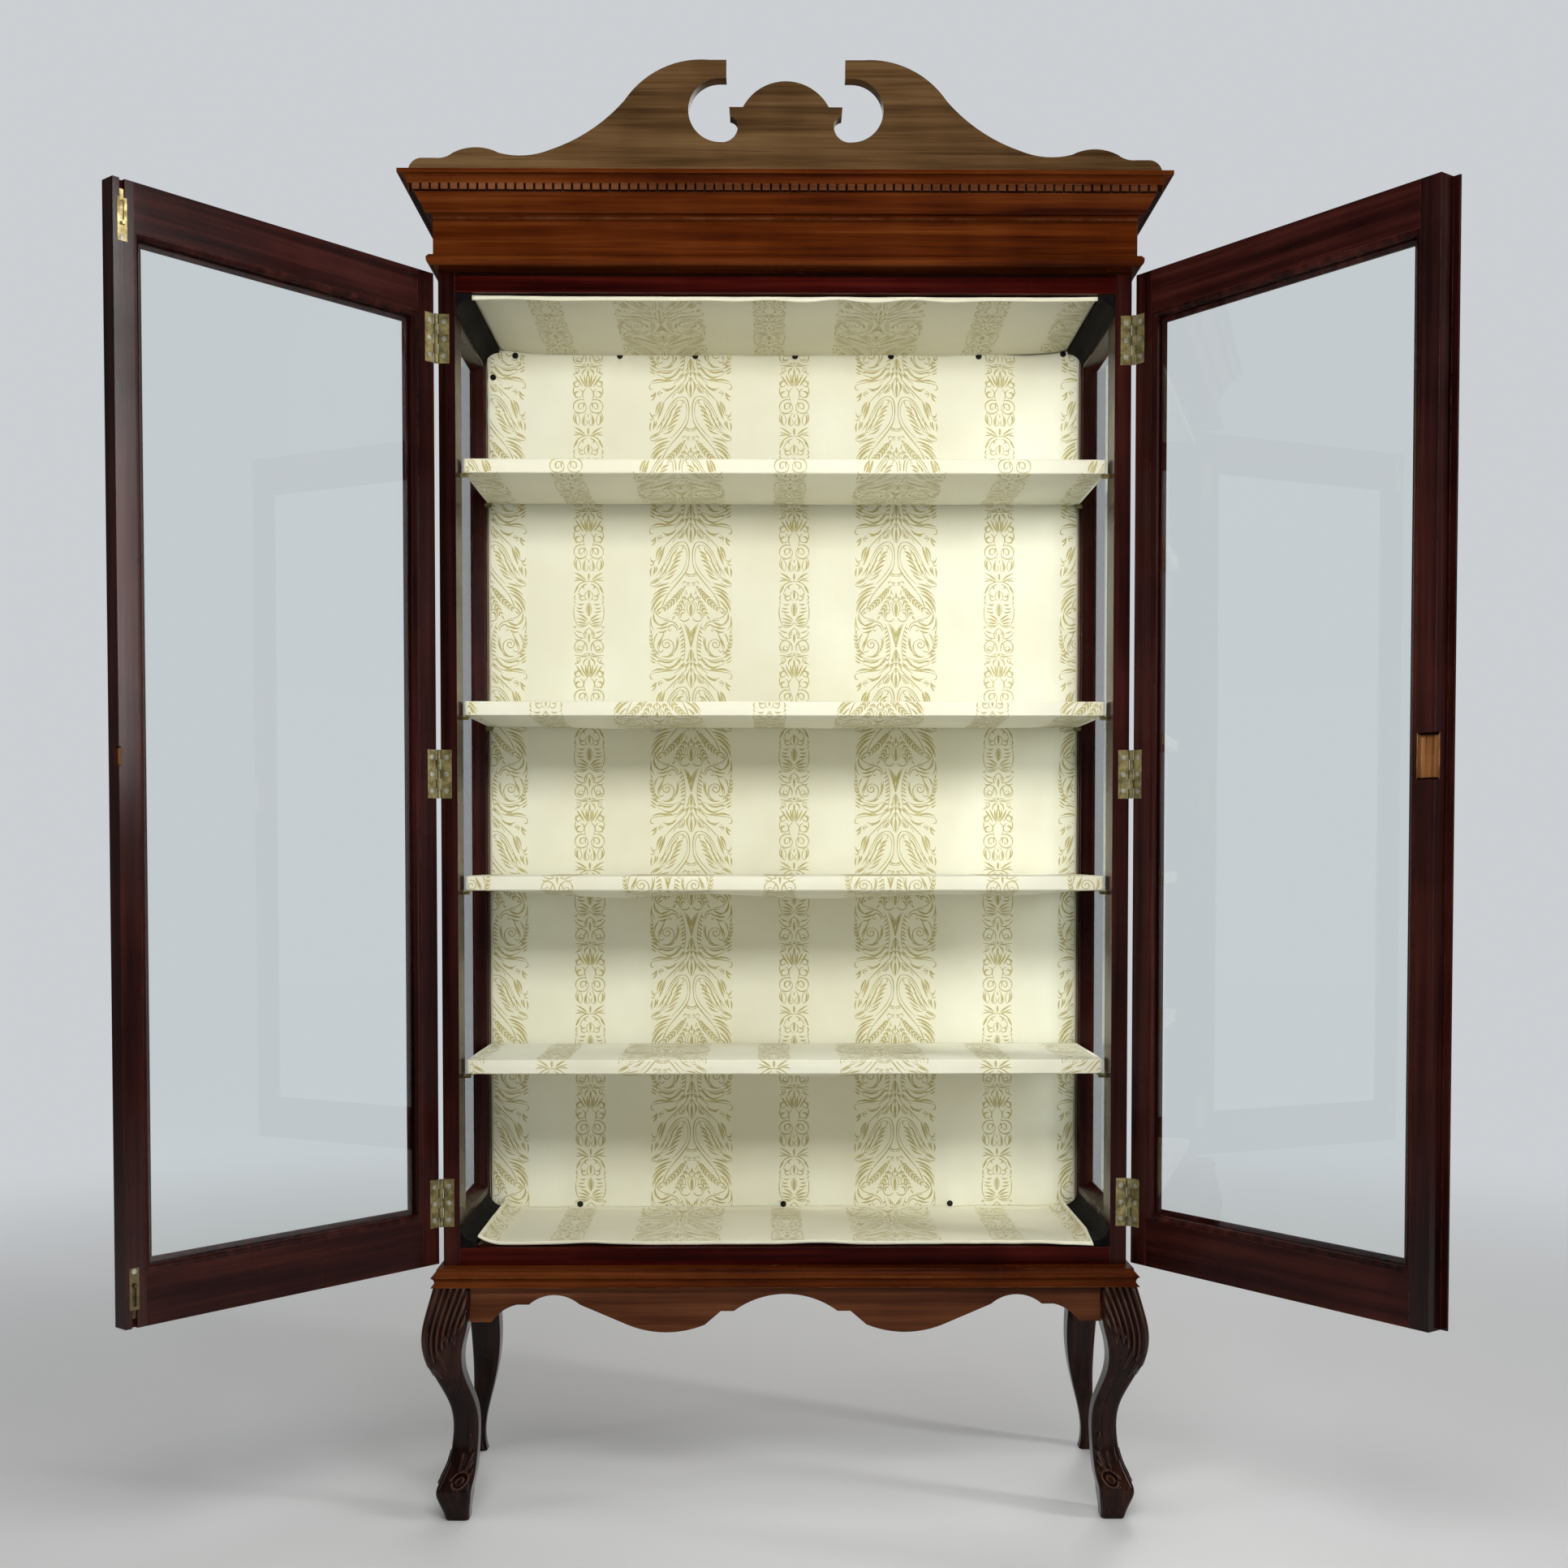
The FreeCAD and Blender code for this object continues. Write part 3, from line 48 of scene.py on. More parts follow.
# a node's socket that can be written into sums
class Wire:
    def __init__(self, graph, socket):
        self.graph, self.socket = graph, socket

    def op(self, operation, *values):
        return self.graph.add("ShaderNodeMath", {"operation": operation}, dict(enumerate(values)))

    def __add__(self, other): return self.op("ADD", self, other)
    def __radd__(self, other): return self.op("ADD", other, self)
    def __sub__(self, other): return self.op("SUBTRACT", self, other)
    def __rsub__(self, other): return self.op("SUBTRACT", other, self)
    def __mul__(self, other): return self.op("MULTIPLY", self, other)
    def __rmul__(self, other): return self.op("MULTIPLY", other, self)
    def __pow__(self, other): return self.op("POWER", self, other)
    def __lt__(self, other): return self.op("LESS_THAN", self, other)
    def __gt__(self, other): return self.op("GREATER_THAN", self, other)
    def __abs__(self): return self.op("ABSOLUTE", self)


class Graph:
    def __init__(self, tree):
        self.tree = tree

    def add(self, kind, settings=None, sockets=None, out=0):
        node = self.tree.nodes.new(kind)
        for key, val in (settings or {}).items():
            if key == "stops":
                while len(node.color_ramp.elements) < len(val):
                    node.color_ramp.elements.new(0.5)
                for stop, (place, colour) in zip(node.color_ramp.elements, val):
                    stop.position, stop.color = place, (*colour, 1)
            else:
                setattr(node, key, val)
        for key, val in (sockets or {}).items():
            if isinstance(val, Wire):
                self.tree.links.new(val.socket, node.inputs[key])
            else:
                node.inputs[key].default_value = val
        return Wire(self, node.outputs[out]) if len(node.outputs) else None

    def mix(self, factor, a, b):
        first, second = (c if isinstance(c, Wire) else (*c, 1) for c in (a, b))
        return self.add("ShaderNodeMix", {"data_type": "RGBA"}, {0: factor, 6: first, 7: second}, out=2)

    def fit(self, value, low, high, toLow=0.0, toHigh=1.0):
        return self.add("ShaderNodeMapRange", None, {0: value, 1: low, 2: high, 3: toLow, 4: toHigh})


class Finish(Graph):
    def __init__(self, name):
        self.material = bpy.data.materials.new(name)
        self.material.use_nodes = True
        super().__init__(self.material.node_tree)
        self.tree.nodes.clear()

    def place(self, scale=(1, 1, 1), turn=(0, 0, 0), uv=False):
        kind = {"vector_type": "POINT"}
        where = self.add("ShaderNodeTexCoord", None, None, out=2 if uv else 3)
        if any(turn):
            where = self.add("ShaderNodeMapping", kind, {"Vector": where, "Rotation": turn})
        return self.add("ShaderNodeMapping", kind, {"Vector": where, "Scale": scale})

    def noise(self, scale, detail, rough, turn=(0, 0, 0), uv=False):
        sockets = {"Vector": self.place(scale, turn, uv), "Scale": 1.0, "Detail": detail, "Roughness": rough}
        return self.add("ShaderNodeTexNoise", None, sockets)

    def axis(self, letter, uv=False):
        return self.add("ShaderNodeSeparateXYZ", None, {0: self.place(uv=uv)}, out="xyz".index(letter))

    def bump(self, strength, distance, height, **sockets):
        sockets.update(Strength=strength, Distance=distance, Height=height)
        return self.add("ShaderNodeBump", None, sockets)

    def arris(self, radius):
        rounded = self.add("ShaderNodeBevel", {"samples": 4}, {"Radius": radius})
        flat = self.add("ShaderNodeNewGeometry", None, None, out=1)
        dot = self.add("ShaderNodeVectorMath", {"operation": "DOT_PRODUCT"}, {0: rounded, 1: flat}, out=1)
        return rounded, 1 - dot

    def surface(self, **sockets):
        named = {key.replace("_", " "): val for key, val in sockets.items()}
        shader = self.add("ShaderNodeBsdfPrincipled", None, named)
        self.add("ShaderNodeOutputMaterial", None, {"Surface": shader})
        return self.material


# polished wood: grain runs along one axis, turned with the door it is on
woodTones = {
    "dark": dict(low=(0.0055, 0.0010, 0.0008), mid=(0.0185, 0.0036, 0.0028), high=(0.044, 0.0095, 0.0066),
                 worn=(0.13, 0.042, 0.028), gloss=0.22, coat=0.11, shine=0.05),
    "carved": dict(low=(0.0040, 0.0009, 0.0005), mid=(0.0150, 0.0042, 0.0022), high=(0.036, 0.0115, 0.006),
                   worn=(0.16, 0.075, 0.048), gloss=0.17, coat=0.28, shine=0.04),
    "red": dict(low=(0.0085, 0.0006, 0.0004), mid=(0.028, 0.0020, 0.0012), high=(0.060, 0.0065, 0.0038),
                worn=(0.17, 0.05, 0.03), gloss=0.24, coat=0.03, shine=0.035),
    "apron": dict(low=(0.034, 0.0095, 0.0034), mid=(0.086, 0.027, 0.0102), high=(0.145, 0.053, 0.0215),
                  worn=(0.2, 0.08, 0.042), gloss=0.32, coat=0.05, shine=0.04),
    "brown": dict(low=(0.020, 0.0026, 0.0004), mid=(0.064, 0.0120, 0.0014), high=(0.118, 0.030, 0.0055),
                  worn=(0.24, 0.10, 0.045), gloss=0.3, coat=0.03, shine=0.035),
    "olive": dict(low=(0.028, 0.0125, 0.0040), mid=(0.078, 0.041, 0.0150), high=(0.136, 0.078, 0.033),
                  worn=(0.24, 0.145, 0.072), gloss=0.44, coat=0.04),
    "raw": dict(low=(0.045, 0.014, 0.0045), mid=(0.20, 0.083, 0.028), high=(0.38, 0.185, 0.075),
                worn=(0.45, 0.27, 0.14), gloss=0.62, coat=0.0),
    "plain": dict(low=(0.20, 0.12, 0.062), mid=(0.34, 0.22, 0.125), high=(0.47, 0.33, 0.20),
                  worn=(0.5, 0.38, 0.26), gloss=0.6, coat=0.0),
    "black": dict(low=(0.003, 0.0026, 0.0026), mid=(0.006, 0.005, 0.005), high=(0.012, 0.010, 0.010),
                  worn=(0.06, 0.045, 0.04), gloss=0.6, coat=0.0, shine=0.03),
}
woodTones["stile"] = dict(woodTones["dark"], gloss=0.2, coat=0.27, shine=0.07)
grainTurns = {"y": (0, 0, -math.pi / 2), "z": (0, math.pi / 2, 0)}
grainScales = dict(pores=(9, 520, 520), streaks=(2.2, 75, 75), clouds=(2.0, 5.5, 5.5), figure=(16, 9, 9))
# dark tones mixed into the wood: seam is a real dark joint between boards; the band under the frieze lip, the
# gaps between the dentils and the carving's hollows are painted shade, with some dirt and wax
grimeAndShade = dict(seam=(0.03, 0.02, 0.012), corner=(0.0045, 0.0014, 0.0007), teeth=(0.0035, 0.0011, 0.0006),
             wax=(0.0016, 0.0006, 0.0005))
woodEdge, brassEdge = 0.0016, 0.0006
seam = dict(low=0.0006, high=0.0018, aside=50.5)
woodMade = {}


# recess: heights between which the wood is painted dark, painted shade under the frieze lip with some dirt in
# the corner; behind: half width and depth past which the gaps between the dentils are painted dark, a painted
# shade
def polishedWood(tone, along, turn=0.0, boards=0.0, rubbed=False, recess=None, behind=None):
    key = (tone, along, round(turn, 2), boards, rubbed, recess, behind)
    if key in woodMade:
        return woodMade[key]
    t = woodTones[tone]
    marks = dict(boards=boards, rubbed=rubbed, recess=recess, behind=behind)
    words = ["wood", tone, along] + ["%d" % turn] * bool(turn) + [mark for mark in marks if marks[mark]]
    f = Finish("_".join(words))
    spin = grainTurns.get(along, (0, 0, -math.radians(turn)))
    pores = f.noise(grainScales["pores"], 4, 0.6, spin)
    streaks = f.noise(grainScales["streaks"], 3, 0.6, spin)
    clouds = f.noise(grainScales["clouds"], 2, 0.5, spin)
    figure = f.noise(grainScales["figure"], 2, 0.5, spin)
    depth = streaks * 0.52 + clouds * 0.30 + figure * 0.12 + pores * 0.10
    stops = [(0.40, t["low"]), (0.52, t["mid"]), (0.66, t["high"])]
    colour = f.add("ShaderNodeValToRGB", {"stops": stops}, {0: depth})
    poreMask = f.fit(pores, 0.30, 0.43, 1.0, 0.0)
    colour = f.mix(poreMask * 0.45, colour, t["low"])
    rounded, edge = f.arris(woodEdge)
    joint = 0.0
    if boards:
        # counted from far to one side, to stay above zero
        across = f.axis("x") + seam["aside"] * boards
        joint = f.fit(across.op("PINGPONG", across, boards / 2), seam["low"], seam["high"], 1.0, 0.0)
        colour = f.mix(joint * 0.85, colour, grimeAndShade["seam"])
    # painted shade: a dark band on the head rail just under the frieze lip, where the lip's shadow falls, with
    # some dirt in the corner
    if recess:
        up = f.axis("z")
        colour = f.mix((up > recess[0]) * (up < recess[1]) * 0.92, colour, grimeAndShade["corner"])
    # painted shade: the dentil strip painted dark behind the fronts of its teeth, in the gaps between them
    if behind:
        hidden = (f.axis("y") > behind[1]) * (abs(f.axis("x")) < behind[0])
        colour = f.mix(hidden * 0.94, colour, grimeAndShade["teeth"])
    if rubbed:
        # dark wax and painted shade in the hollows of the carving, its ridges painted pale: rubbed wear and a
        # painted highlight
        relief = f.add("ShaderNodeAttribute", {"attribute_name": "rubbed"}, None, out=2)
        colour = f.mix(f.fit(relief, 0.46, 0.12) * 0.85, colour, grimeAndShade["wax"])
        colour = f.mix(f.fit(relief, 0.58, 0.92) * 0.48, colour, t["worn"])
    scuff = f.noise((38, 38, 38), 4, 0.65)
    wear = f.fit(edge, 0.03, 0.30) * f.fit(scuff, 0.36, 0.66)
    colour = f.mix(wear * 0.75, colour, t["worn"])
    smear = f.noise((7, 7, 7), 3, 0.6)
    rough = t["gloss"] + f.fit(smear, 0.35, 0.75, -0.04, 0.13) + poreMask * 0.08 + wear * 0.2
    bump = f.bump(0.4, 0.0002, pores * 0.6 + streaks * 0.6 - joint * 4, Normal=rounded)
    woodMade[key] = f.surface(Base_Color=colour, Roughness=rough, Normal=bump, Coat_Weight=t["coat"],
                              Coat_Roughness=0.1, Specular_IOR_Level=t.get("shine", 0.07))
    return woodMade[key]


# knuckles: the hinge axis and the band round it painted dark, dirt and painted shade beside the knuckles;
# shadedBelow: height under which the brass is painted darker, a painted shade low in the case
def agedBrass(name, dull, bright, dirtAndShade, metal=0.9, knuckles=None, shadedBelow=None):
    f = Finish(name)
    cloud = f.noise((90, 90, 90), 4, 0.6)
    specks = f.noise((700, 700, 700), 2, 0.6)
    rounded, edge = f.arris(brassEdge)
    colour = f.mix(f.fit(cloud, 0.36, 0.66), dull, bright)
    colour = f.mix(f.fit(specks, 0.55, 0.72) * 0.7, colour, dirtAndShade)
    colour = f.mix(f.fit(edge, 0.05, 0.4) * 0.7, colour, bright)
    if knuckles:
        side, deep = abs(f.axis("x")) - knuckles["x"], f.axis("y") - knuckles["y"]
        away = (side * side + deep * deep) ** 0.5
        # a band round the knuckles painted dark: dirt and painted shade
        colour = f.mix((away > knuckles["near"]) * (away < knuckles["far"]) * 0.75, colour, dirtAndShade)
    # painted shade: the brass painted darker below this height
    if shadedBelow:
        colour = f.mix((f.axis("z") < shadedBelow) * 0.8, colour, dirtAndShade)
    rough = f.fit(cloud, 0.3, 0.7, 0.5, 0.28)
    bump = f.bump(0.2, 0.0001, specks + cloud, Normal=rounded)
    return f.surface(Base_Color=colour, Metallic=metal, Roughness=rough, Normal=bump)


def clearGlass(name):
    f = Finish(name)
    bump = f.bump(0.05, 0.0015, f.noise((5, 5, 2.2), 1, 0.4))
    smear = f.noise((3, 3, 1.4), 3, 0.6)
    pane = f.add("ShaderNodeBsdfPrincipled", None, {
        "Base Color": (0.95, 0.985, 0.98, 1), "Roughness": f.fit(smear, 0.5, 0.8, 0.0, 0.03), "IOR": 1.47,
        "Transmission Weight": 1.0, "Normal": bump})
    shade = f.add("ShaderNodeBsdfTransparent", None, {"Color": (0.93, 0.96, 0.955, 1)})
    light = f.add("ShaderNodeLightPath", None, None, out=1)
    both = f.add("ShaderNodeMixShader", None, {0: light, 1: pane, 2: shade})
    f.add("ShaderNodeOutputMaterial", None, {"Surface": both})
    return f.material


# cream satin: fine threads, a faint olive ground under the figured stripes, soft stains, and an even tint
# towards the stain colour that is yellowing and painted shade on the ceiling, floor and shelf cloths
clothColours = dict(ground=(0.83, 0.82, 0.665), shade=(0.76, 0.735, 0.565), stripe=(0.80, 0.78, 0.605),
                    stain=(0.62, 0.565, 0.39))
stripes = dict(repeat=0.297, wide=-0.1344, wideHalf=0.0595, narrow=-0.282, narrowHalf=0.0225, soft=0.0012,
               aside=40)


def stripeMask(f, across, kind, shift):
    half, soft = stripes[kind + "Half"], stripes["soft"]
    away = across - (stripes[kind] + shift) + stripes["aside"] * stripes["repeat"]
    return f.fit(away.op("PINGPONG", away, stripes["repeat"] / 2), half + soft, half - soft)


def threads(f, direction, scale):
    return f.add("ShaderNodeTexWave", {"wave_type": "BANDS", "bands_direction": direction}, {
        "Vector": f.place(scale, uv=True), "Scale": 1.0, "Distortion": 1.5, "Detail": 2.0})


def satin(name, shift=0.0, yellowingAndShade=0.0):
    c = clothColours
    f = Finish(name)
    across = f.axis("x", uv=True)
    band = stripeMask(f, across, "wide", shift) + stripeMask(f, across, "narrow", shift)
    weave = threads(f, "X", (420, 30, 1)) * 0.6 + threads(f, "Y", (30, 420, 1)) * 0.4
    slub = f.noise((900, 16, 1), 2, 0.6, uv=True)
    cloud = f.noise((7, 7, 7), 3, 0.55)
    stain = f.noise((2.6, 2.6, 2.6), 4, 0.6)
    colour = f.mix(f.fit(cloud, 0.3, 0.7), c["ground"], c["shade"])
    colour = f.mix(f.fit(slub, 0.5, 0.75) * 0.25, colour, c["shade"])
    colour = f.mix(band * 0.55, colour, c["stripe"])
    # soft stains, and an even stain tint everywhere: yellowing and painted shade
    colour = f.mix(f.fit(stain, 0.6, 0.78, yellowingAndShade, 0.4 + 0.6 * yellowingAndShade), colour, c["stain"])
    bump = f.bump(0.35, 0.0003, weave + slub * 0.5)
    rough = 0.50 + band * 0.16 + weave * 0.06
    return f.surface(Base_Color=colour, Roughness=rough, Normal=bump, Sheen_Weight=0.25, Sheen_Roughness=0.4)


def goldThread(name):
    f = Finish(name)
    fibre = f.noise((500, 500, 500), 2, 0.6)
    patch = f.noise((60, 60, 60), 2, 0.5)
    colour = f.mix(f.fit(fibre, 0.3, 0.7), (0.35, 0.295, 0.095), (0.55, 0.485, 0.215))
    colour = f.mix(f.fit(patch, 0.4, 0.7) * 0.5, colour, (0.62, 0.56, 0.30))
    bump = f.bump(0.4, 0.0003, fibre)
    return f.surface(Base_Color=colour, Roughness=0.5, Normal=bump, Sheen_Weight=0.2, Sheen_Roughness=0.4)


doorTurns = {"left": -130.8, "right": 126.0}
pinLow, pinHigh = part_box("hinge_pins")
pinRadius = (pinHigh[1] - pinLow[1]) / 2
knuckles = dict(x=float(pinHigh[0] - pinRadius), y=float(pinLow[1] + pinRadius), near=0.0027, far=0.0042)
brass = agedBrass("aged_brass", (0.105, 0.083, 0.029), (0.33, 0.275, 0.11), (0.03, 0.023, 0.01), 0.5,
                  knuckles)
brightBrass = agedBrass("rubbed_brass", (0.22, 0.165, 0.055), (0.68, 0.55, 0.25), (0.06, 0.042, 0.018), 0.6,
                        shadedBelow=1.0)
# a darker copy of the brass for the bottom bolt: painted shade low in the case
shadedBrass = agedBrass("dark_brass", (0.05, 0.036, 0.018), (0.15, 0.11, 0.06), (0.02, 0.015, 0.01))
steel = agedBrass("worn_steel", (0.23, 0.22, 0.175), (0.54, 0.52, 0.45), (0.05, 0.045, 0.035), 0.6)
tackBlack = agedBrass("tack_black", (0.012, 0.012, 0.012), (0.05, 0.05, 0.05), (0.03, 0.02, 0.015))
glass = clearGlass("pane_glass")
thread = goldThread("gold_thread")

dentilLow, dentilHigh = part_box("dentils")
lipFoot = float(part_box("frieze_lip")[0][2])
# heights of the painted shade band under the frieze lip, and the dentils' front faces behind which their gaps
# are painted as shade
toothSkin, lipShadeAndGrime = 0.0008, (0.005, 0.05)
toothFaces = (float(dentilHigh[0]) - toothSkin, float(dentilLow[1]) + toothSkin)
underLip = (lipFoot - lipShadeAndGrime[0], lipFoot + lipShadeAndGrime[1])
nodeFinishes = {
    polishedWood("apron", "x", behind=toothFaces): ["dentils"],
    polishedWood("dark", "z"): ["front_left_post", "front_right_post", "back_left_post", "back_right_post",
                                "side_beads", "left_hinge_stile", "right_hinge_stile", "left_glazing_beads",
                                "right_glazing_beads"],
    polishedWood("stile", "z"): ["left_meeting_stile", "right_meeting_stile", "astragal"],
    polishedWood("carved", "z"): ["back_left_leg", "back_right_leg", "front_left_leg", "front_right_leg"],
    polishedWood("dark", "y"): ["side_rails"],
    polishedWood("dark", "x", doorTurns["left"]): ["left_door_rails"],
    polishedWood("dark", "x", doorTurns["right"]): ["right_door_rails"],
    polishedWood("red", "x", recess=underLip): ["front_rails"],
    polishedWood("apron", "x"): ["front_apron", "back_apron"],
    polishedWood("apron", "y"): ["side_aprons"],
    polishedWood("brown", "x"): ["base_moulding", "frieze", "frieze_lip", "cornice", "bottom_board",
                                 "hood_boards"],
    polishedWood("olive", "x"): ["pediment"],
    polishedWood("plain", "x"): ["floor_board", "ceiling_board", "top_shelf_board", "second_shelf_board",
                                 "third_shelf_board", "bottom_shelf_board"],
    polishedWood("plain", "z", boards=0.122): ["back_panel"],
    polishedWood("black", "y"): ["battens"],
    brass: ["case_hinge_leaves", "left_hinge_leaves", "right_hinge_leaves", "hinge_pins", "shelf_pins"],
    brightBrass: ["top_bolt", "bolt_plates"],
    shadedBrass: ["bottom_bolt"],
    steel: ["case_hinge_screws", "left_door_screws", "right_door_screws"],
    glass: ["side_glass", "left_glass", "right_glass"],
}
for finish, names in nodeFinishes.items():
    for name in names:
        mesh = nodes[name].data
        mesh.materials.clear()
        mesh.materials.append(finish)
print("finishes on the solids")


def meshPiece(name, points, faces, finish, uv=None):
    mesh = bpy.data.meshes.new(name)
    points = np.asarray(points, float).reshape(-1, 3).tolist()
    mesh.from_pydata(points, [], [list(map(int, face)) for face in faces])
    if uv is not None:
        layer = mesh.uv_layers.new(name="flat")
        loops = np.zeros(len(mesh.loops), dtype=np.int32)
        mesh.loops.foreach_get("vertex_index", loops)
        layer.data.foreach_set("uv", np.asarray(uv, dtype=np.float32)[loops].ravel())
    mesh.polygons.foreach_set("use_smooth", [True] * len(mesh.polygons))
    mesh.materials.append(finish)
    mesh.update()
    piece = bpy.data.objects.new(name, mesh)
    scene.collection.objects.link(piece)
    return piece


def gridFaces(rows, columns, closed=False):
    i, j = np.meshgrid(np.arange(rows - 1), np.arange(columns if closed else columns - 1), indexing="ij")
    k = (j + 1) % columns
    here, after = i * columns, (i + 1) * columns
    return np.stack([here + j, here + k, after + k, after + j], -1).reshape(-1, 4)


def plainMesh(piece):
    shown = piece.evaluated_get(bpy.context.evaluated_depsgraph_get())
    mesh = bpy.data.meshes.new_from_object(shown)
    piece.modifiers.clear()
    old, piece.data = piece.data, mesh
    mesh.name = piece.name
    bpy.data.meshes.remove(old)
    return piece


# geometry nodes: a shape repeated on the points of a mesh
def repeatTree(name, rows):
    tree = bpy.data.node_groups.new(name, "GeometryNodeTree")
    face = tree.interface
    face.new_socket(name="Points", in_out="INPUT", socket_type="NodeSocketGeometry")
    sockets = {"Shape": "NodeSocketObject", "Turn": "NodeSocketRotation", "Finish": "NodeSocketMaterial"}
    if rows:
        sockets.update({"Rows": "NodeSocketInt", "Pitch": "NodeSocketFloat"})
    ids = {key: face.new_socket(name=key, in_out="INPUT", socket_type=kind).identifier
           for key, kind in sockets.items()}
    face.new_socket(name="Mesh", in_out="OUTPUT", socket_type="NodeSocketGeometry")
    g = Graph(tree)
    start = tree.nodes.new("NodeGroupInput")
    wire = {socket.name: Wire(g, socket) for socket in start.outputs if socket.name}
    shape = g.add("GeometryNodeObjectInfo", None, {"Object": wire["Shape"]}, out=4)
    points = wire["Points"]
    if rows:
        step = g.add("ShaderNodeCombineXYZ", None, {"Y": wire["Pitch"]})
        column = g.add("GeometryNodeMeshLine", {"mode": "OFFSET"}, {"Count": wire["Rows"], "Offset": step})
        points = g.add("GeometryNodeInstanceOnPoints", None, {"Points": points, "Instance": column})
        points = g.add("GeometryNodeRealizeInstances", None, {0: points})
    copies = g.add("GeometryNodeInstanceOnPoints", None, {
        "Points": points, "Instance": shape, "Rotation": wire["Turn"]})
    solid = g.add("GeometryNodeRealizeInstances", None, {0: copies})
    done = g.add("GeometryNodeSetMaterial", None, {"Geometry": solid, "Material": wire["Finish"]})
    g.add("NodeGroupOutput", None, {"Mesh": done})
    return tree, ids


studTree, studIds = repeatTree("studs", False)
figureTree, figureIds = repeatTree("figuredStripes", True)


def repeated(name, places, shape, finish, turn=(0, 0, 0), rows=None, pitch=None):
    piece = meshPiece(name, places, [], finish)
    modifier = piece.modifiers.new("repeat", "NODES")
    tree, ids = (studTree, studIds) if rows is None else (figureTree, figureIds)
    modifier.node_group = tree
    modifier[ids["Shape"]] = shape
    modifier[ids["Turn"]] = turn
    modifier[ids["Finish"]] = finish
    if rows is not None:
        modifier[ids["Rows"]] = rows
        modifier[ids["Pitch"]] = pitch
    piece = plainMesh(piece)
    piece.data.polygons.foreach_set("use_smooth", [True] * len(piece.data.polygons))
    return piece


def spare(piece):
    bpy.data.objects.remove(piece)
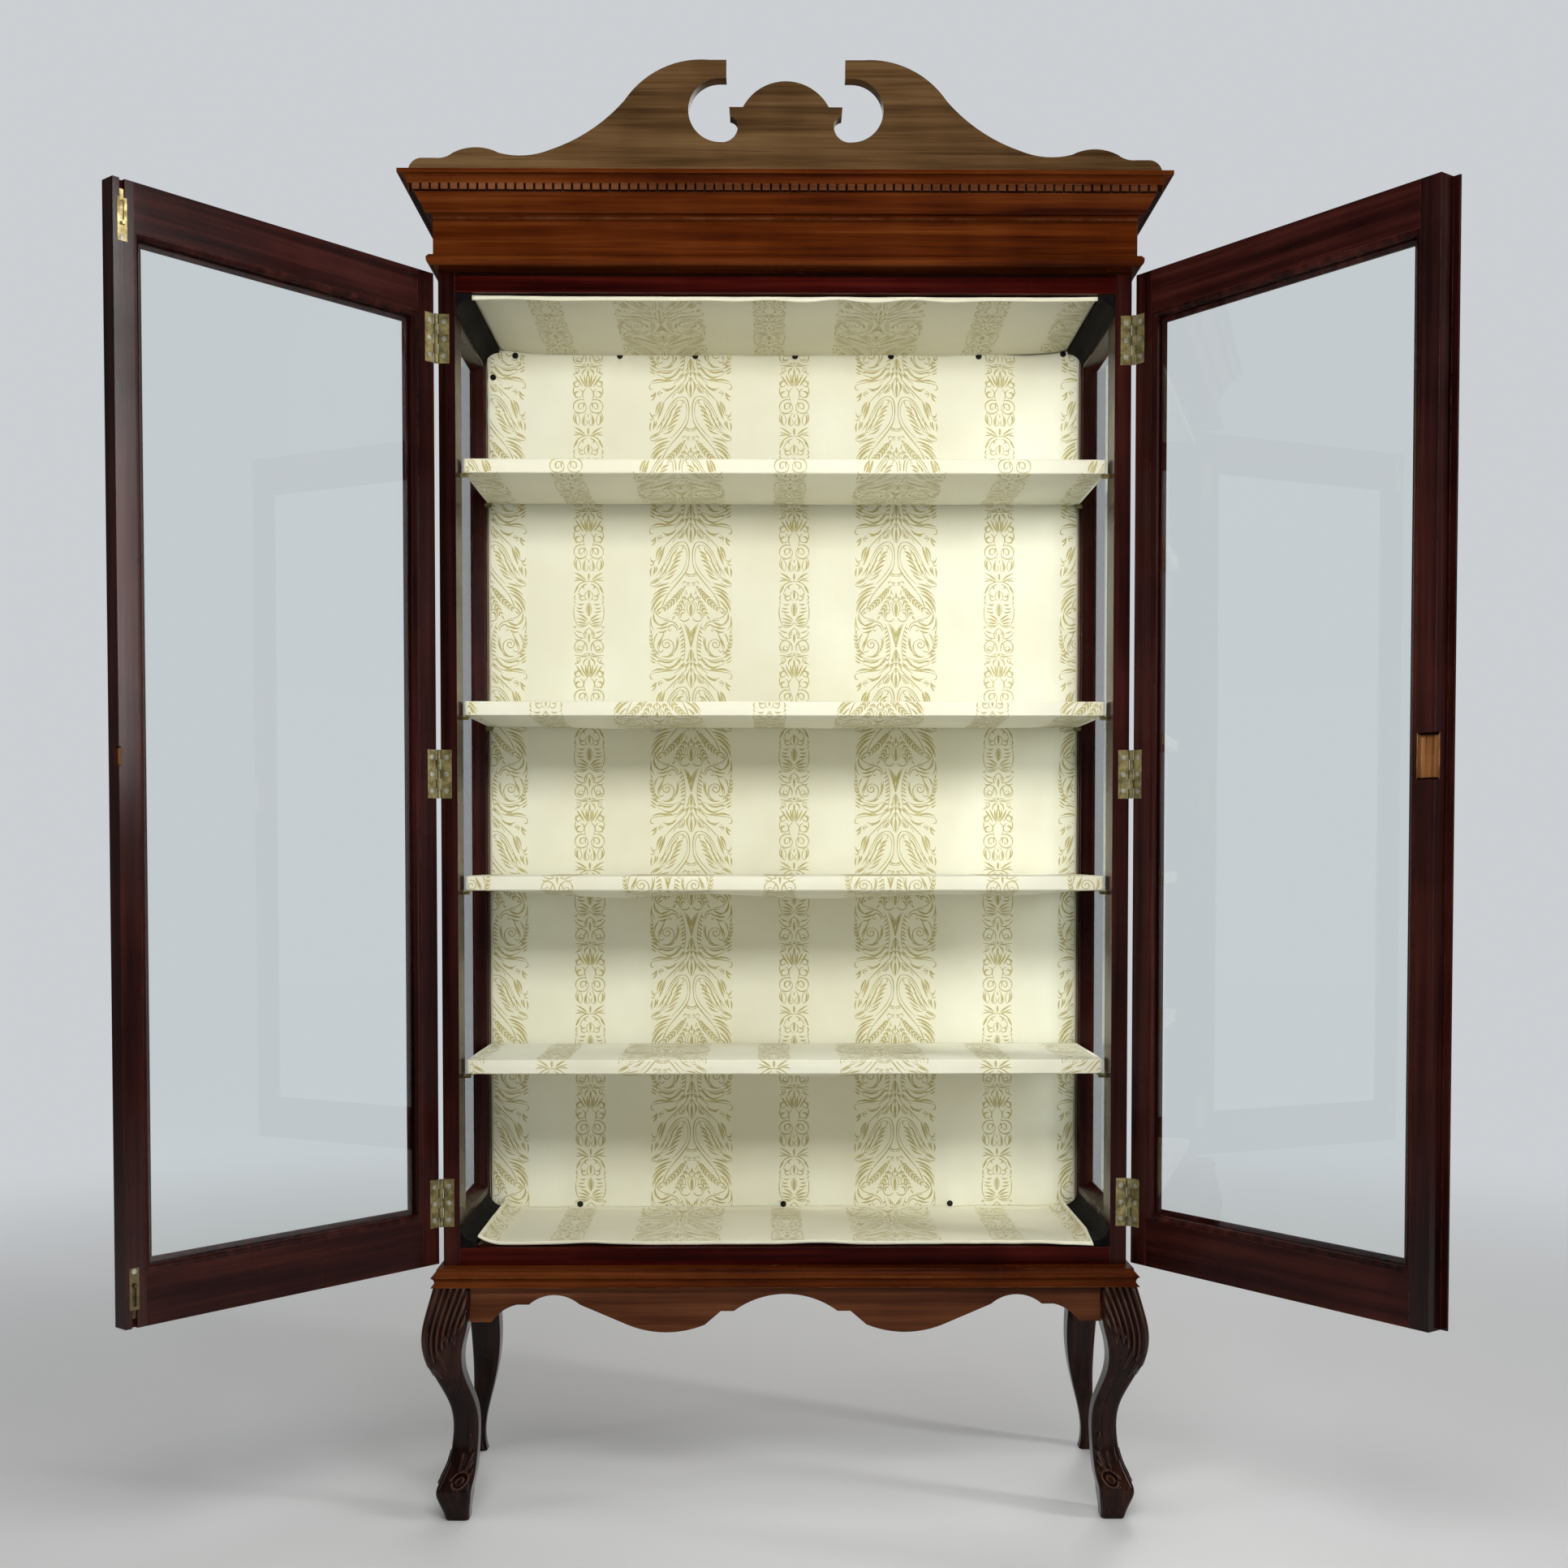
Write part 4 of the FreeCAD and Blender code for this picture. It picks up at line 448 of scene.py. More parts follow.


# damask figures, placed over an enlarged crop of the cloth: points in the crop's pixels, widths in mm.
# Stems and blades are four curve points and a width, for the right half, which is mirrored. Middle strokes
# lie on the figure's own column, so they give rows only. Sprays and curls end with what their functions take
figureCrop = dict(perMm=5.08, budRow=270, wideColumn=397, narrowColumn=938)
wideStrokes = dict(
    stems=[
        (402, 122, 424, 165, 440, 205, 403, 268, 1.3), (446, 172, 470, 190, 498, 205, 488, 236, 1.4),
        (446, 175, 442, 205, 452, 240, 488, 238, 1.3), (497, 226, 515, 236, 526, 252, 530, 270, 1.1),
        (428, 132, 480, 185, 545, 250, 592, 298, 1.7), (480, 122, 520, 152, 600, 140, 690, 166, 1.4),
        (690, 166, 708, 190, 692, 216, 674, 202, 1.6), (610, 215, 642, 222, 648, 252, 618, 256, 1.2),
        (590, 298, 596, 350, 618, 400, 640, 434, 1.2), (652, 392, 664, 412, 692, 410, 694, 376, 1.5),
        (412, 420, 402, 330, 414, 266, 455, 262, 1.7), (455, 262, 510, 262, 545, 310, 580, 385, 1.6),
        (412, 420, 420, 490, 505, 565, 560, 640, 1.9), (560, 640, 590, 680, 605, 720, 612, 752, 1.7),
        (428, 400, 420, 340, 432, 292, 462, 284, 1.1), (428, 400, 440, 470, 500, 530, 545, 568, 1.2),
        (580, 385, 600, 430, 610, 480, 626, 524, 1.3), (470, 320, 448, 318, 446, 288, 476, 286, 1.3),
        (476, 286, 520, 290, 550, 350, 590, 440, 1.2), (466, 326, 500, 400, 550, 470, 600, 520, 1.1),
        (600, 520, 640, 530, 704, 560, 694, 580, 1.4), (694, 580, 680, 598, 640, 584, 616, 558, 1.4),
        (560, 640, 620, 640, 680, 690, 692, 764, 1.1), (397, 502, 418, 503, 432, 495, 438, 478, 2.0),
        (397, 516, 420, 516, 442, 508, 448, 488, 1.1), (430, 560, 440, 546, 454, 552, 456, 572, 1.5),
        (398, 700, 418, 692, 434, 678, 438, 658, 1.3), (398, 702, 432, 712, 438, 762, 399, 808, 1.2),
        (412, 698, 440, 704, 452, 740, 440, 770, 1.1), (436, 768, 470, 736, 500, 790, 480, 824, 1.8),
        (480, 824, 462, 852, 422, 848, 410, 820, 1.8), (668, 742, 664, 800, 620, 832, 556, 828, 1.3),
        (606, 838, 560, 836, 496, 842, 488, 905, 1.6), (500, 915, 500, 868, 552, 852, 564, 890, 1.7),
        (564, 890, 568, 918, 544, 918, 544, 900, 1.3), (692, 820, 702, 870, 696, 900, 690, 932, 0.9),
        (596, 925, 604, 980, 652, 1000, 640, 1050, 2.0), (640, 1050, 632, 1076, 604, 1072, 600, 1050, 1.5),
        (548, 982, 518, 1000, 508, 1062, 562, 1094, 1.7), (488, 952, 482, 1040, 520, 1092, 592, 1104, 1.3),
        (453, 856, 430, 910, 412, 970, 399, 1036, 1.2), (398, 1048, 420, 1085, 426, 1118, 403, 1140, 1.2),
        (468, 1112, 498, 1184, 560, 1204, 644, 1150, 1.4), (480, 1104, 520, 1132, 580, 1142, 652, 1100, 1.1),
        (404, 1150, 440, 1150, 466, 1190, 520, 1225, 1.5),
    ],
    blades=[
        (420, 156, 434, 178, 436, 200, 424, 226, 2.0), (452, 190, 462, 215, 472, 230, 486, 232, 2.4),
        (505, 168, 525, 208, 567, 224, 610, 194, 4.2), (540, 200, 552, 214, 570, 222, 590, 216, 2.0),
        (560, 150, 600, 126, 650, 128, 692, 154, 3.0), (650, 226, 662, 248, 680, 262, 692, 262, 3.0),
        (652, 240, 660, 270, 672, 286, 686, 292, 2.6), (600, 225, 612, 236, 626, 240, 638, 236, 2.0),
        (530, 140, 560, 132, 590, 134, 610, 140, 2.0), (592, 296, 602, 330, 622, 380, 638, 430, 3.2),
        (606, 296, 636, 310, 650, 350, 652, 392, 3.0), (612, 304, 622, 340, 634, 370, 644, 404, 2.6),
        (668, 420, 676, 440, 692, 438, 699, 424, 1.8), (664, 440, 658, 465, 666, 490, 676, 510, 2.8),
        (686, 450, 696, 475, 696, 500, 690, 522, 2.4), (648, 440, 646, 458, 650, 475, 658, 492, 2.0),
        (690, 400, 680, 415, 672, 420, 660, 418, 1.6), (455, 332, 480, 335, 500, 350, 512, 374, 2.8),
        (464, 362, 490, 365, 515, 385, 530, 412, 2.8), (472, 394, 500, 400, 525, 420, 545, 452, 2.8),
        (484, 428, 515, 438, 540, 460, 560, 492, 2.8), (505, 322, 530, 350, 550, 390, 558, 428, 2.4),
        (536, 392, 563, 424, 580, 460, 588, 502, 2.4), (500, 462, 525, 482, 550, 500, 574, 512, 2.4),
        (556, 430, 580, 462, 600, 492, 614, 520, 2.2), (585, 420, 606, 446, 624, 476, 650, 512, 2.0),
        (490, 300, 505, 320, 512, 340, 514, 356, 1.8), (518, 492, 540, 520, 570, 536, 600, 540, 2.4),
        (622, 540, 645, 546, 670, 560, 686, 574, 2.8), (556, 564, 600, 578, 640, 584, 666, 606, 2.6),
        (545, 590, 590, 596, 640, 618, 676, 656, 4.0), (568, 616, 620, 622, 670, 668, 692, 718, 4.0),
        (588, 648, 640, 666, 674, 718, 690, 782, 4.2), (604, 690, 640, 718, 660, 748, 674, 786, 3.4),
        (612, 740, 632, 752, 648, 772, 656, 796, 2.4), (430, 580, 442, 588, 448, 600, 450, 618, 2.0),
        (405, 658, 416, 668, 422, 688, 410, 700, 1.8), (440, 782, 462, 770, 480, 795, 470, 824, 2.6),
        (420, 650, 432, 640, 436, 625, 432, 610, 1.6), (668, 780, 684, 830, 652, 872, 600, 880, 4.2),
        (556, 846, 586, 862, 612, 880, 644, 868, 3.6), (558, 878, 588, 888, 620, 905, 652, 892, 3.6),
        (572, 905, 590, 920, 612, 930, 642, 922, 3.2), (690, 806, 698, 850, 690, 890, 662, 912, 2.0),
        (606, 955, 616, 990, 632, 1010, 630, 1048, 3.2), (504, 958, 490, 1000, 500, 1050, 532, 1082, 3.0),
        (520, 1082, 545, 1102, 580, 1110, 614, 1098, 2.6), (640, 930, 660, 950, 670, 975, 664, 1000, 2.2),
        (530, 868, 545, 866, 556, 876, 556, 890, 1.6), (440, 862, 420, 900, 410, 960, 400, 1030, 3.2),
        (420, 884, 410, 910, 404, 960, 400, 1000, 2.4), (410, 1108, 428, 1122, 434, 1140, 414, 1144, 2.2),
        (412, 1146, 424, 1160, 432, 1176, 438, 1198, 2.8), (500, 1148, 530, 1188, 572, 1196, 606, 1166, 4.4),
        (520, 1130, 560, 1152, 602, 1152, 642, 1116, 3.8), (600, 1130, 620, 1140, 640, 1140, 660, 1128, 2.2),
        (640, 1112, 660, 1100, 680, 1090, 696, 1074, 2.4), (650, 1134, 670, 1124, 686, 1112, 696, 1098, 2.4),
        (630, 1092, 640, 1075, 655, 1063, 667, 1050, 2.2), (656, 1150, 672, 1146, 686, 1138, 697, 1126, 2.2),
        (470, 1105, 484, 1130, 500, 1148, 518, 1158, 2.2), (444, 1150, 462, 1158, 480, 1176, 492, 1196, 2.2),
    ],
    sprays=[
        (448, 580, 470, 640, 530, 700, 614, 770, 8, 8.2, 2.4, 0.75, (1, -1), 0.25),
        (438, 636, 452, 690, 482, 740, 516, 802, 5, 7.5, 2.2, 0.7, (1, -1), 0.2),
        (478, 858, 440, 940, 430, 1040, 454, 1152, 9, 7.5, 2.4, 0.95, (1,), -0.05),
        (644, 1108, 674, 1070, 692, 1000, 690, 938, 6, 5.8, 2.0, 0.75, (1, -1), 0.25),
    ],
    curls=[
        (414, 566, 3.0, -2.2, 1.15, 1.3), (577, 1012, 8.2, 2.6, -1.55, 1.7),
    ],
    middle=[
        (165, 200, 240, 273, 5.2), (118, 135, 150, 165, 2.6), (632, 650, 668, 684, 3.2),
        (708, 740, 780, 808, 6.6), (905, 925, 945, 965, 2.6), (1050, 1085, 1115, 1138, 5.6),
        (1140, 1155, 1165, 1178, 3.6), (985, 1000, 1020, 1036, 1.6),
    ])
narrowStrokes = dict(
    stems=[
        (940, 46, 965, 38, 990, 46, 1012, 44, 1.3), (1042, 148, 1054, 190, 1010, 204, 1000, 170, 1.5),
        (1040, 188, 1058, 230, 1032, 284, 990, 264, 1.8), (990, 264, 970, 248, 974, 214, 1002, 204, 1.5),
        (950, 200, 976, 215, 988, 250, 966, 290, 1.3), (966, 290, 1010, 268, 1064, 310, 1040, 362, 1.8),
        (1040, 362, 1014, 402, 948, 388, 950, 340, 1.7), (950, 340, 954, 303, 1012, 298, 1012, 335, 1.5),
        (1012, 335, 1010, 362, 980, 360, 986, 338, 1.2), (1030, 374, 1054, 420, 1052, 442, 1010, 477, 1.4),
        (1010, 477, 984, 440, 998, 408, 1028, 378, 1.2), (950, 380, 992, 430, 988, 486, 955, 477, 1.4),
        (955, 477, 940, 466, 942, 444, 955, 430, 1.2), (938, 552, 986, 548, 1034, 580, 1044, 642, 1.6),
        (950, 568, 986, 578, 1012, 610, 1016, 650, 1.2), (1000, 640, 1018, 682, 990, 704, 963, 680, 1.6),
        (940, 620, 972, 630, 978, 680, 944, 692, 1.1), (940, 708, 964, 740, 960, 772, 940, 806, 1.1),
        (1042, 720, 1056, 780, 1048, 840, 1020, 872, 1.3), (938, 850, 958, 884, 1000, 898, 1032, 874, 1.4),
        (938, 893, 976, 922, 988, 952, 960, 962, 1.8), (960, 962, 990, 978, 1032, 960, 1048, 918, 1.7),
        (955, 1062, 942, 1010, 975, 984, 1005, 984, 1.8), (1005, 984, 1054, 990, 1058, 1072, 1010, 1073, 1.6),
        (1010, 1073, 980, 1070, 973, 1035, 1000, 1025, 1.4),
        (1000, 1025, 1016, 1020, 1024, 1042, 1008, 1050, 1.1),
        (940, 1090, 975, 1104, 1010, 1094, 1044, 1092, 1.4),
    ],
    blades=[
        (946, 54, 966, 58, 988, 78, 976, 112, 2.6), (945, 100, 952, 130, 947, 160, 940, 192, 2.6),
        (962, 98, 968, 135, 957, 165, 946, 194, 2.6), (1000, 98, 987, 140, 966, 170, 950, 198, 2.6),
        (1034, 104, 1012, 140, 992, 165, 976, 192, 2.8), (1000, 150, 1030, 136, 1050, 168, 1030, 197, 2.6),
        (1000, 226, 1032, 218, 1050, 250, 1020, 278, 3.0), (1010, 90, 1030, 84, 1042, 92, 1046, 104, 1.8),
        (960, 300, 972, 318, 974, 340, 966, 356, 2.0), (996, 312, 1010, 322, 1014, 340, 1000, 354, 2.0),
        (1024, 395, 1038, 420, 1032, 450, 1015, 472, 2.8), (962, 408, 976, 440, 974, 460, 960, 472, 2.6),
        (990, 385, 1000, 390, 1012, 388, 1022, 380, 1.6), (958, 545, 985, 520, 1010, 500, 1044, 487, 2.8),
        (955, 556, 985, 545, 1015, 530, 1042, 521, 2.4), (1000, 550, 1020, 540, 1036, 545, 1048, 553, 2.0),
        (955, 574, 988, 578, 988, 602, 965, 607, 2.4), (1012, 590, 1026, 605, 1036, 622, 1042, 642, 2.4),
        (974, 650, 990, 672, 1002, 660, 1012, 640, 2.2), (1034, 650, 1048, 664, 1048, 682, 1030, 692, 2.0),
        (1040, 692, 1049, 701, 1042, 713, 1029, 716, 1.8), (974, 714, 990, 726, 1006, 726, 1018, 714, 2.4),
        (984, 744, 1000, 756, 1016, 753, 1028, 741, 2.4), (974, 775, 995, 782, 1015, 776, 1032, 764, 2.4),
        (946, 840, 965, 814, 990, 799, 1014, 794, 2.8), (950, 850, 975, 834, 1000, 824, 1032, 821, 2.8),
        (955, 861, 980, 855, 1005, 850, 1030, 850, 2.6), (962, 872, 985, 874, 1005, 872, 1026, 868, 2.2),
        (984, 932, 1005, 920, 1025, 926, 1037, 904, 2.2), (990, 972, 1010, 988, 1031, 986, 1042, 970, 2.0),
        (950, 920, 962, 930, 964, 942, 955, 952, 1.8), (988, 1050, 1005, 1062, 1027, 1056, 1032, 1034, 2.4),
        (960, 1000, 975, 1010, 980, 1030, 972, 1050, 1.8), (950, 1075, 962, 1084, 975, 1088, 990, 1086, 1.6),
    ],
    sprays=[],
    curls=[
        (1018, 70, 4.4, 0.6, 1.2, 1.4), (1040, 888, 2.2, -1.0, 1.1, 1.2),
    ],
    middle=[
        (60, 80, 100, 118, 3.4), (490, 510, 530, 547, 4.4), (610, 640, 665, 684, 4.6),
        (714, 745, 780, 808, 6.0), (932, 955, 980, 1004, 4.4), (1072, 1080, 1090, 1098, 2.4),
        (390, 400, 410, 420, 1.8),
    ])


# mm from the bud's tip, rightward and upward, to a tenth
def fromBud(pixels, column):
    xs = [round((x - column) / figureCrop["perMm"], 1) for x in pixels[::2]]
    ys = [round((figureCrop["budRow"] - y) / figureCrop["perMm"], 1) for y in pixels[1::2]]
    return np.array([xs, ys], float).T


# blades are slimmer than the given width, broad ones most: least width, share of it kept
slimming = [(3.8, 0.74), (3.2, 0.84), (0.0, 0.95)]
strokePoints = dict(stem=10, blade=7, leaf=6, curl=15)


def slim(width):
    share = next(share for least, share in slimming if width >= least)
    return round(width * share, 1)


def bezier(points, count):
    t = np.linspace(0, 1, count)[:, None]
    a, b, c, d = points
    return (1 - t) ** 3 * a + 3 * (1 - t) ** 2 * t * b + 3 * (1 - t) * t ** 2 * c + t ** 3 * d


def stem(points, width):
    t = np.linspace(0, 1, strokePoints["stem"])
    return bezier(points, len(t)), width * (0.4 + 0.6 * np.sin(np.pi * np.clip(t * 0.9 + 0.06, 0, 1)))


def blade(points, width):
    t = np.linspace(0, 1, strokePoints["blade"])
    return bezier(points, len(t)), width * np.sin(np.pi * t ** 0.85) ** 0.85


def leaf(x, y, angle, length, width, bend):
    t = np.linspace(0, 1, strokePoints["leaf"])
    heading = np.array([math.cos(angle), math.sin(angle)])
    sideways = np.array([-heading[1], heading[0]])
    path = np.array([x, y]) + length * (t[:, None] * heading + bend * (t ** 2)[:, None] * sideways)
    return path, width * np.sin(np.pi * t ** 0.8) ** 0.85


def curl(x, y, radius, start, turns, width):
    t = np.linspace(0, 1, strokePoints["curl"])
    angle, r = start + turns * 2 * np.pi * t, radius * (1 - 0.86 * t)
    path = np.stack([x + r * np.cos(angle), y + r * np.sin(angle)], -1)
    return path, width * (0.55 + 0.45 * np.sin(np.pi * t))


def spray(points, count, length, width, splay, sides, bend):
    path = bezier(points, 40)
    lines = [stem(points, 1.0)]
    for k in range(count):
        i = int(3 + 34 * (k + 0.5) / count)
        ahead = path[i + 1] - path[i - 1]
        angle = math.atan2(ahead[1], ahead[0])
        size = length * (0.65 + 0.5 * math.sin(math.pi * (k + 0.7) / (count + 0.4)))
        fat = width * (0.7 + 0.3 * size / length)
        lines += [leaf(*path[i], angle + side * splay, size, fat, -side * bend) for side in sides]
    ahead = path[-1] - path[-3]
    return lines + [leaf(*path[-1], math.atan2(ahead[1], ahead[0]), length, width, 0.1)]


def figureLines(strokes, column):
    lines = [stem(fromBud(row[:8], column), row[8]) for row in strokes["stems"]]
    lines += [blade(fromBud(row[:8], column), slim(row[8])) for row in strokes["blades"]]
    lines += [line for row in strokes["sprays"] for line in spray(fromBud(row[:8], column), *row[8:])]
    lines += [curl(*fromBud(row[:2], column)[0], *row[2:]) for row in strokes["curls"]]
    mirrored = [((np.array([-1, 1]) * path)[::-1], width[::-1]) for path, width in lines]
    middle = []
    for *rows, width in strokes["middle"]:
        pixels = [value for row in rows for value in (column, row)]
        middle.append(blade(fromBud(pixels, column), slim(width)))
    return lines + mirrored + middle


# raised figures: edge, ridge and thinnest in mm; in m the pitch of the repeats, the margin left at the cloth's
# edges and the step that probes its slope
figureForm = dict(edge=0.1, ridge=0.3, thinnest=0.3, pitch=0.209, margin=0.002, probe=0.0006)


def figureMesh(name, strokes, column):
    points, faces = [], []
    for path, width in figureLines(strokes, column):
        step = np.gradient(path, axis=0)
        sideways = np.stack([-step[:, 1], step[:, 0]], -1)
        sideways /= np.maximum(np.linalg.norm(sideways, axis=1), 1e-9)[:, None]
        half = (0.5 * np.maximum(width, figureForm["thinnest"]))[:, None]
        first, n = len(points), len(path)
        # blades lie flat, stems have a ridge
        low = 0 * half + figureForm["edge"]
        rows = [np.hstack([path + sideways * half, low]), np.hstack([path - sideways * half, low])]
        if n > strokePoints["blade"]:
            rows.insert(1, np.hstack([path, 0 * half + figureForm["ridge"]]))
        points += list(np.stack(rows, 1).reshape(-1, 3) * 0.001)
        faces += list(gridFaces(n, len(rows)) + first)
    return meshPiece(name, points, faces, thread)


wideShape = figureMesh("wide_figure", wideStrokes, figureCrop["wideColumn"])
narrowShape = figureMesh("narrow_figure", narrowStrokes, figureCrop["narrowColumn"])


# a sheet: a mesh of its flat cut, laid by a function that gives each flat point its place
def sheetPiece(name, lay, us, vs, finish, thickness=0.0006):
    u, v = np.meshgrid(us, vs)
    points = lay(u, v).reshape(-1, 3)
    piece = meshPiece(name, points, gridFaces(len(vs), len(us)), finish, np.stack([u, v], -1).reshape(-1, 2))
    skin = piece.modifiers.new("thickness", "SOLIDIFY")
    skin.thickness, skin.offset = thickness, -1
    return piece


def figurePieces(name, lay, us, vs, shift, start):
    made = []
    pitch, clear, d = figureForm["pitch"], figureForm["margin"], figureForm["probe"]
    rows = int(math.ceil((vs[-1] - vs[0]) / pitch)) + 2
    for kind, shape in (("Wide", wideShape), ("Narrow", narrowShape)):
        half = stripes[kind.lower() + "Half"]
        columns = [stripes[kind.lower()] + shift + k * stripes["repeat"] for k in range(-4, 5)]
        places = [(c, vs[0] + start - pitch, 0) for c in columns if c + half > us[0] and c - half < us[-1]]
        raised = repeated(name + kind, places, shape, thread, rows=rows, pitch=pitch)
        mesh = raised.data
        flat = np.zeros(len(mesh.vertices) * 3, dtype=np.float32)
        mesh.vertices.foreach_get("co", flat)
        quads = np.zeros(len(mesh.loops), dtype=np.int32)
        mesh.loops.foreach_get("vertex_index", quads)
        flat, quads = flat.reshape(-1, 3).astype(float), quads.reshape(-1, 4)
        u, v = flat[:, 0], flat[:, 1]
        inside = (u > us[0] + clear) & (u < us[-1] - clear) & (v > vs[0] + clear) & (v < vs[-1] - clear)
        quads = quads[inside[quads].all(1)]
        used, back = np.unique(quads, return_inverse=True)
        u, v, h = flat[used, 0], flat[used, 1], flat[used, 2:3]
        normal = np.cross(lay(u + d, v) - lay(u - d, v), lay(u, v + d) - lay(u, v - d))
        normal /= np.linalg.norm(normal, axis=1)[:, None]
        spare(raised)
        made.append(meshPiece(name + kind, lay(u, v) + normal * h, back.reshape(-1, 4), thread))
    return made


def wander(u, v, seed, scale):
    spin = np.random.default_rng(seed)
    total = 0 * u
    for wave in range(5):
        angle, phase = spin.uniform(0, 2 * np.pi), spin.uniform(0, 2 * np.pi)
        size = scale * spin.uniform(0.6, 1.7)
        total = total + np.sin(2 * np.pi * (u * np.cos(angle) + v * np.sin(angle)) / size + phase)
    return total / 5


# back cloth: hangs from its tacks in shallow folds
backCloth = dict(
    half=0.4265, low=0.3612, high=1.6030, face=0.1172, tackHeight=1.5985, dip=0.005, dipFrom=1.45,
    tacks=[-0.3867, -0.2361, -0.1274, 0.0165, 0.1546, 0.2812, 0.4031], footTacks=[-0.2974, -0.0007, 0.2429],
    most=0.0055, fold=0.0009, foldPitch=0.122, drift=0.0008, pull=0.0016, pullReach=0.05, dimple=0.0012,
    dimpleReach=0.009, footPull=0.0012, footReach=0.045, footFold=0.03, pucker=0.003, puckerHeight=1.56,
    puckerReach=(0.03, 0.06), start=0.131, grid=(200, 230))


def layBack(u, v):
    b = backCloth
    swell = b["fold"] * (1 + np.sin(2 * np.pi * u / b["foldPitch"] + 0.8 * np.sin(3.1 * v)))
    swell = swell + b["drift"] * (1 + wander(u, v, 3, 0.35))
    for i, x in enumerate(b["tacks"]):
        away = np.hypot(u - x, (v - b["tackHeight"]) * 0.8) + 1e-4
        turn = np.arctan2(b["tackHeight"] - v, u - x)
        rays = 1 + np.sin(5 * turn + i)
        swell = swell + b["pull"] * np.exp(-away / b["pullReach"]) * rays * away / (away + 0.012)
        swell = swell - b["dimple"] * np.exp(-(away / b["dimpleReach"]) ** 2)
    for x in b["footTacks"]:
        away = np.hypot(u - x, (v - b["low"]) * 0.8) + 1e-4
        ripples = 1 + np.cos(4 * (u - x) / b["footFold"])
        swell = swell + b["footPull"] * np.exp(-away / b["footReach"]) * ripples
    wide, tall = b["puckerReach"]
    corner = np.exp(-((u + b["half"]) / wide) ** 2 - ((v - b["puckerHeight"]) / tall) ** 2)
    swell = swell + b["pucker"] * corner * (1 + np.sin(v * 160 + u * 90))
    gap = 0 * u
    for x0, x1 in zip(b["tacks"][:-1], b["tacks"][1:]):
        s = np.clip((u - x0) / (x1 - x0), 0, 1)
        gap = gap + b["dip"] * 4 * s * (1 - s)
    top = np.clip((v - b["dipFrom"]) / (b["high"] - b["dipFrom"]), 0, 1) ** 2
    return np.stack([u, b["face"] - np.clip(swell, 0, b["most"]), v - gap * top], -1)


backSatin = satin("satin_back")
backUs = np.linspace(-backCloth["half"], backCloth["half"], backCloth["grid"][0])
backVs = np.linspace(backCloth["low"], backCloth["high"], backCloth["grid"][1])
backLining = sheetPiece("backLining", layBack, backUs, backVs, backSatin)
backFigures = figurePieces("backFigure", layBack, backUs, backVs, 0.0, backCloth["start"])
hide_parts("back_lining")
print("back cloth:", [len(piece.data.polygons) for piece in backFigures], "figure faces")

# ceiling cloth: tacked along the back, sagging, its front edge rolled under the head rail
ceilingCloth = dict(half=0.4085, front=-0.1335, back=0.1165, top=1.6064, sag=0.0085, roll=0.0028,
                    rolled=0.012, rollTurn=1.35, rollSteps=9, scallop=0.117, frill=0.0007, drift=0.0012,
                    shift=0.006, start=0.06, yellowingAndShade=0.34, grid=(220, 70))


# seen from below, so the flat cut is laid right way up for that side
def layCeiling(u, v):
    c = ceilingCloth
    u = -u
    x = u / c["half"]
    s = np.clip((v - c["front"]) / (c["back"] - c["front"]), 0, 1)
    waves = np.sin(2 * np.pi * u / c["scallop"] + 2.3 * np.sin(7 * u)) * np.sin(5.3 * u + 1) ** 2
    scallop = 0.5 * (1 + waves)
    drop = c["sag"] * (1 - x ** 10) * (0.15 + 0.85 * np.clip(s * 1.5, 0, 1) ** 0.8)
    drop = drop + c["frill"] * scallop * np.exp(-s / 0.12) + c["drift"] * (1 + wander(u, v, 8, 0.22)) * s
    angle = np.clip((c["front"] - v) / c["rolled"], 0, 1) * np.pi * c["rollTurn"]
    size = c["roll"] * (0.55 + 0.6 * scallop)
    y = np.maximum(v, c["front"]) - size * np.sin(angle)
    z = c["top"] - drop - size * (1 - np.cos(angle))
    return np.stack([u, y, z], -1)


c = ceilingCloth
ceilingSatin = satin("satin_ceiling", c["shift"], c["yellowingAndShade"])
ceilUs = np.linspace(-c["half"], c["half"], c["grid"][0])
ceilVs = np.concatenate([np.linspace(c["front"] - c["rolled"], c["front"], c["rollSteps"])[:-1],
                         np.linspace(c["front"], c["back"], c["grid"][1])])
ceilingLining = sheetPiece("ceilingLining", layCeiling, ceilUs, ceilVs, ceilingSatin)
ceilingFigures = figurePieces("ceilingFigure", layCeiling, ceilUs, ceilVs, c["shift"], c["start"])
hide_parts("ceiling_lining")

# floor cloth: loose on the floor board, its ends turned up, one front corner hanging over the sill
floorCloth = dict(half=0.4080, front=-0.1345, back=0.1160, level=0.3590, turnUp=0.011, turnWidth=0.034,
                  backUp=0.004, backWidth=0.012, hem=0.0026, hemSteps=10, ripple=0.0006, fineRipple=0.0004,
                  lip=0.0022, lipPitch=0.31, flapFrom=0.318, flapWidth=0.05, flapDeep=0.16, flapOut=0.0115,
                  flatHalf=0.4, flatFrom=0.007, shift=-0.012, start=0.15, yellowingAndShade=0.42, grid=(230, 80))


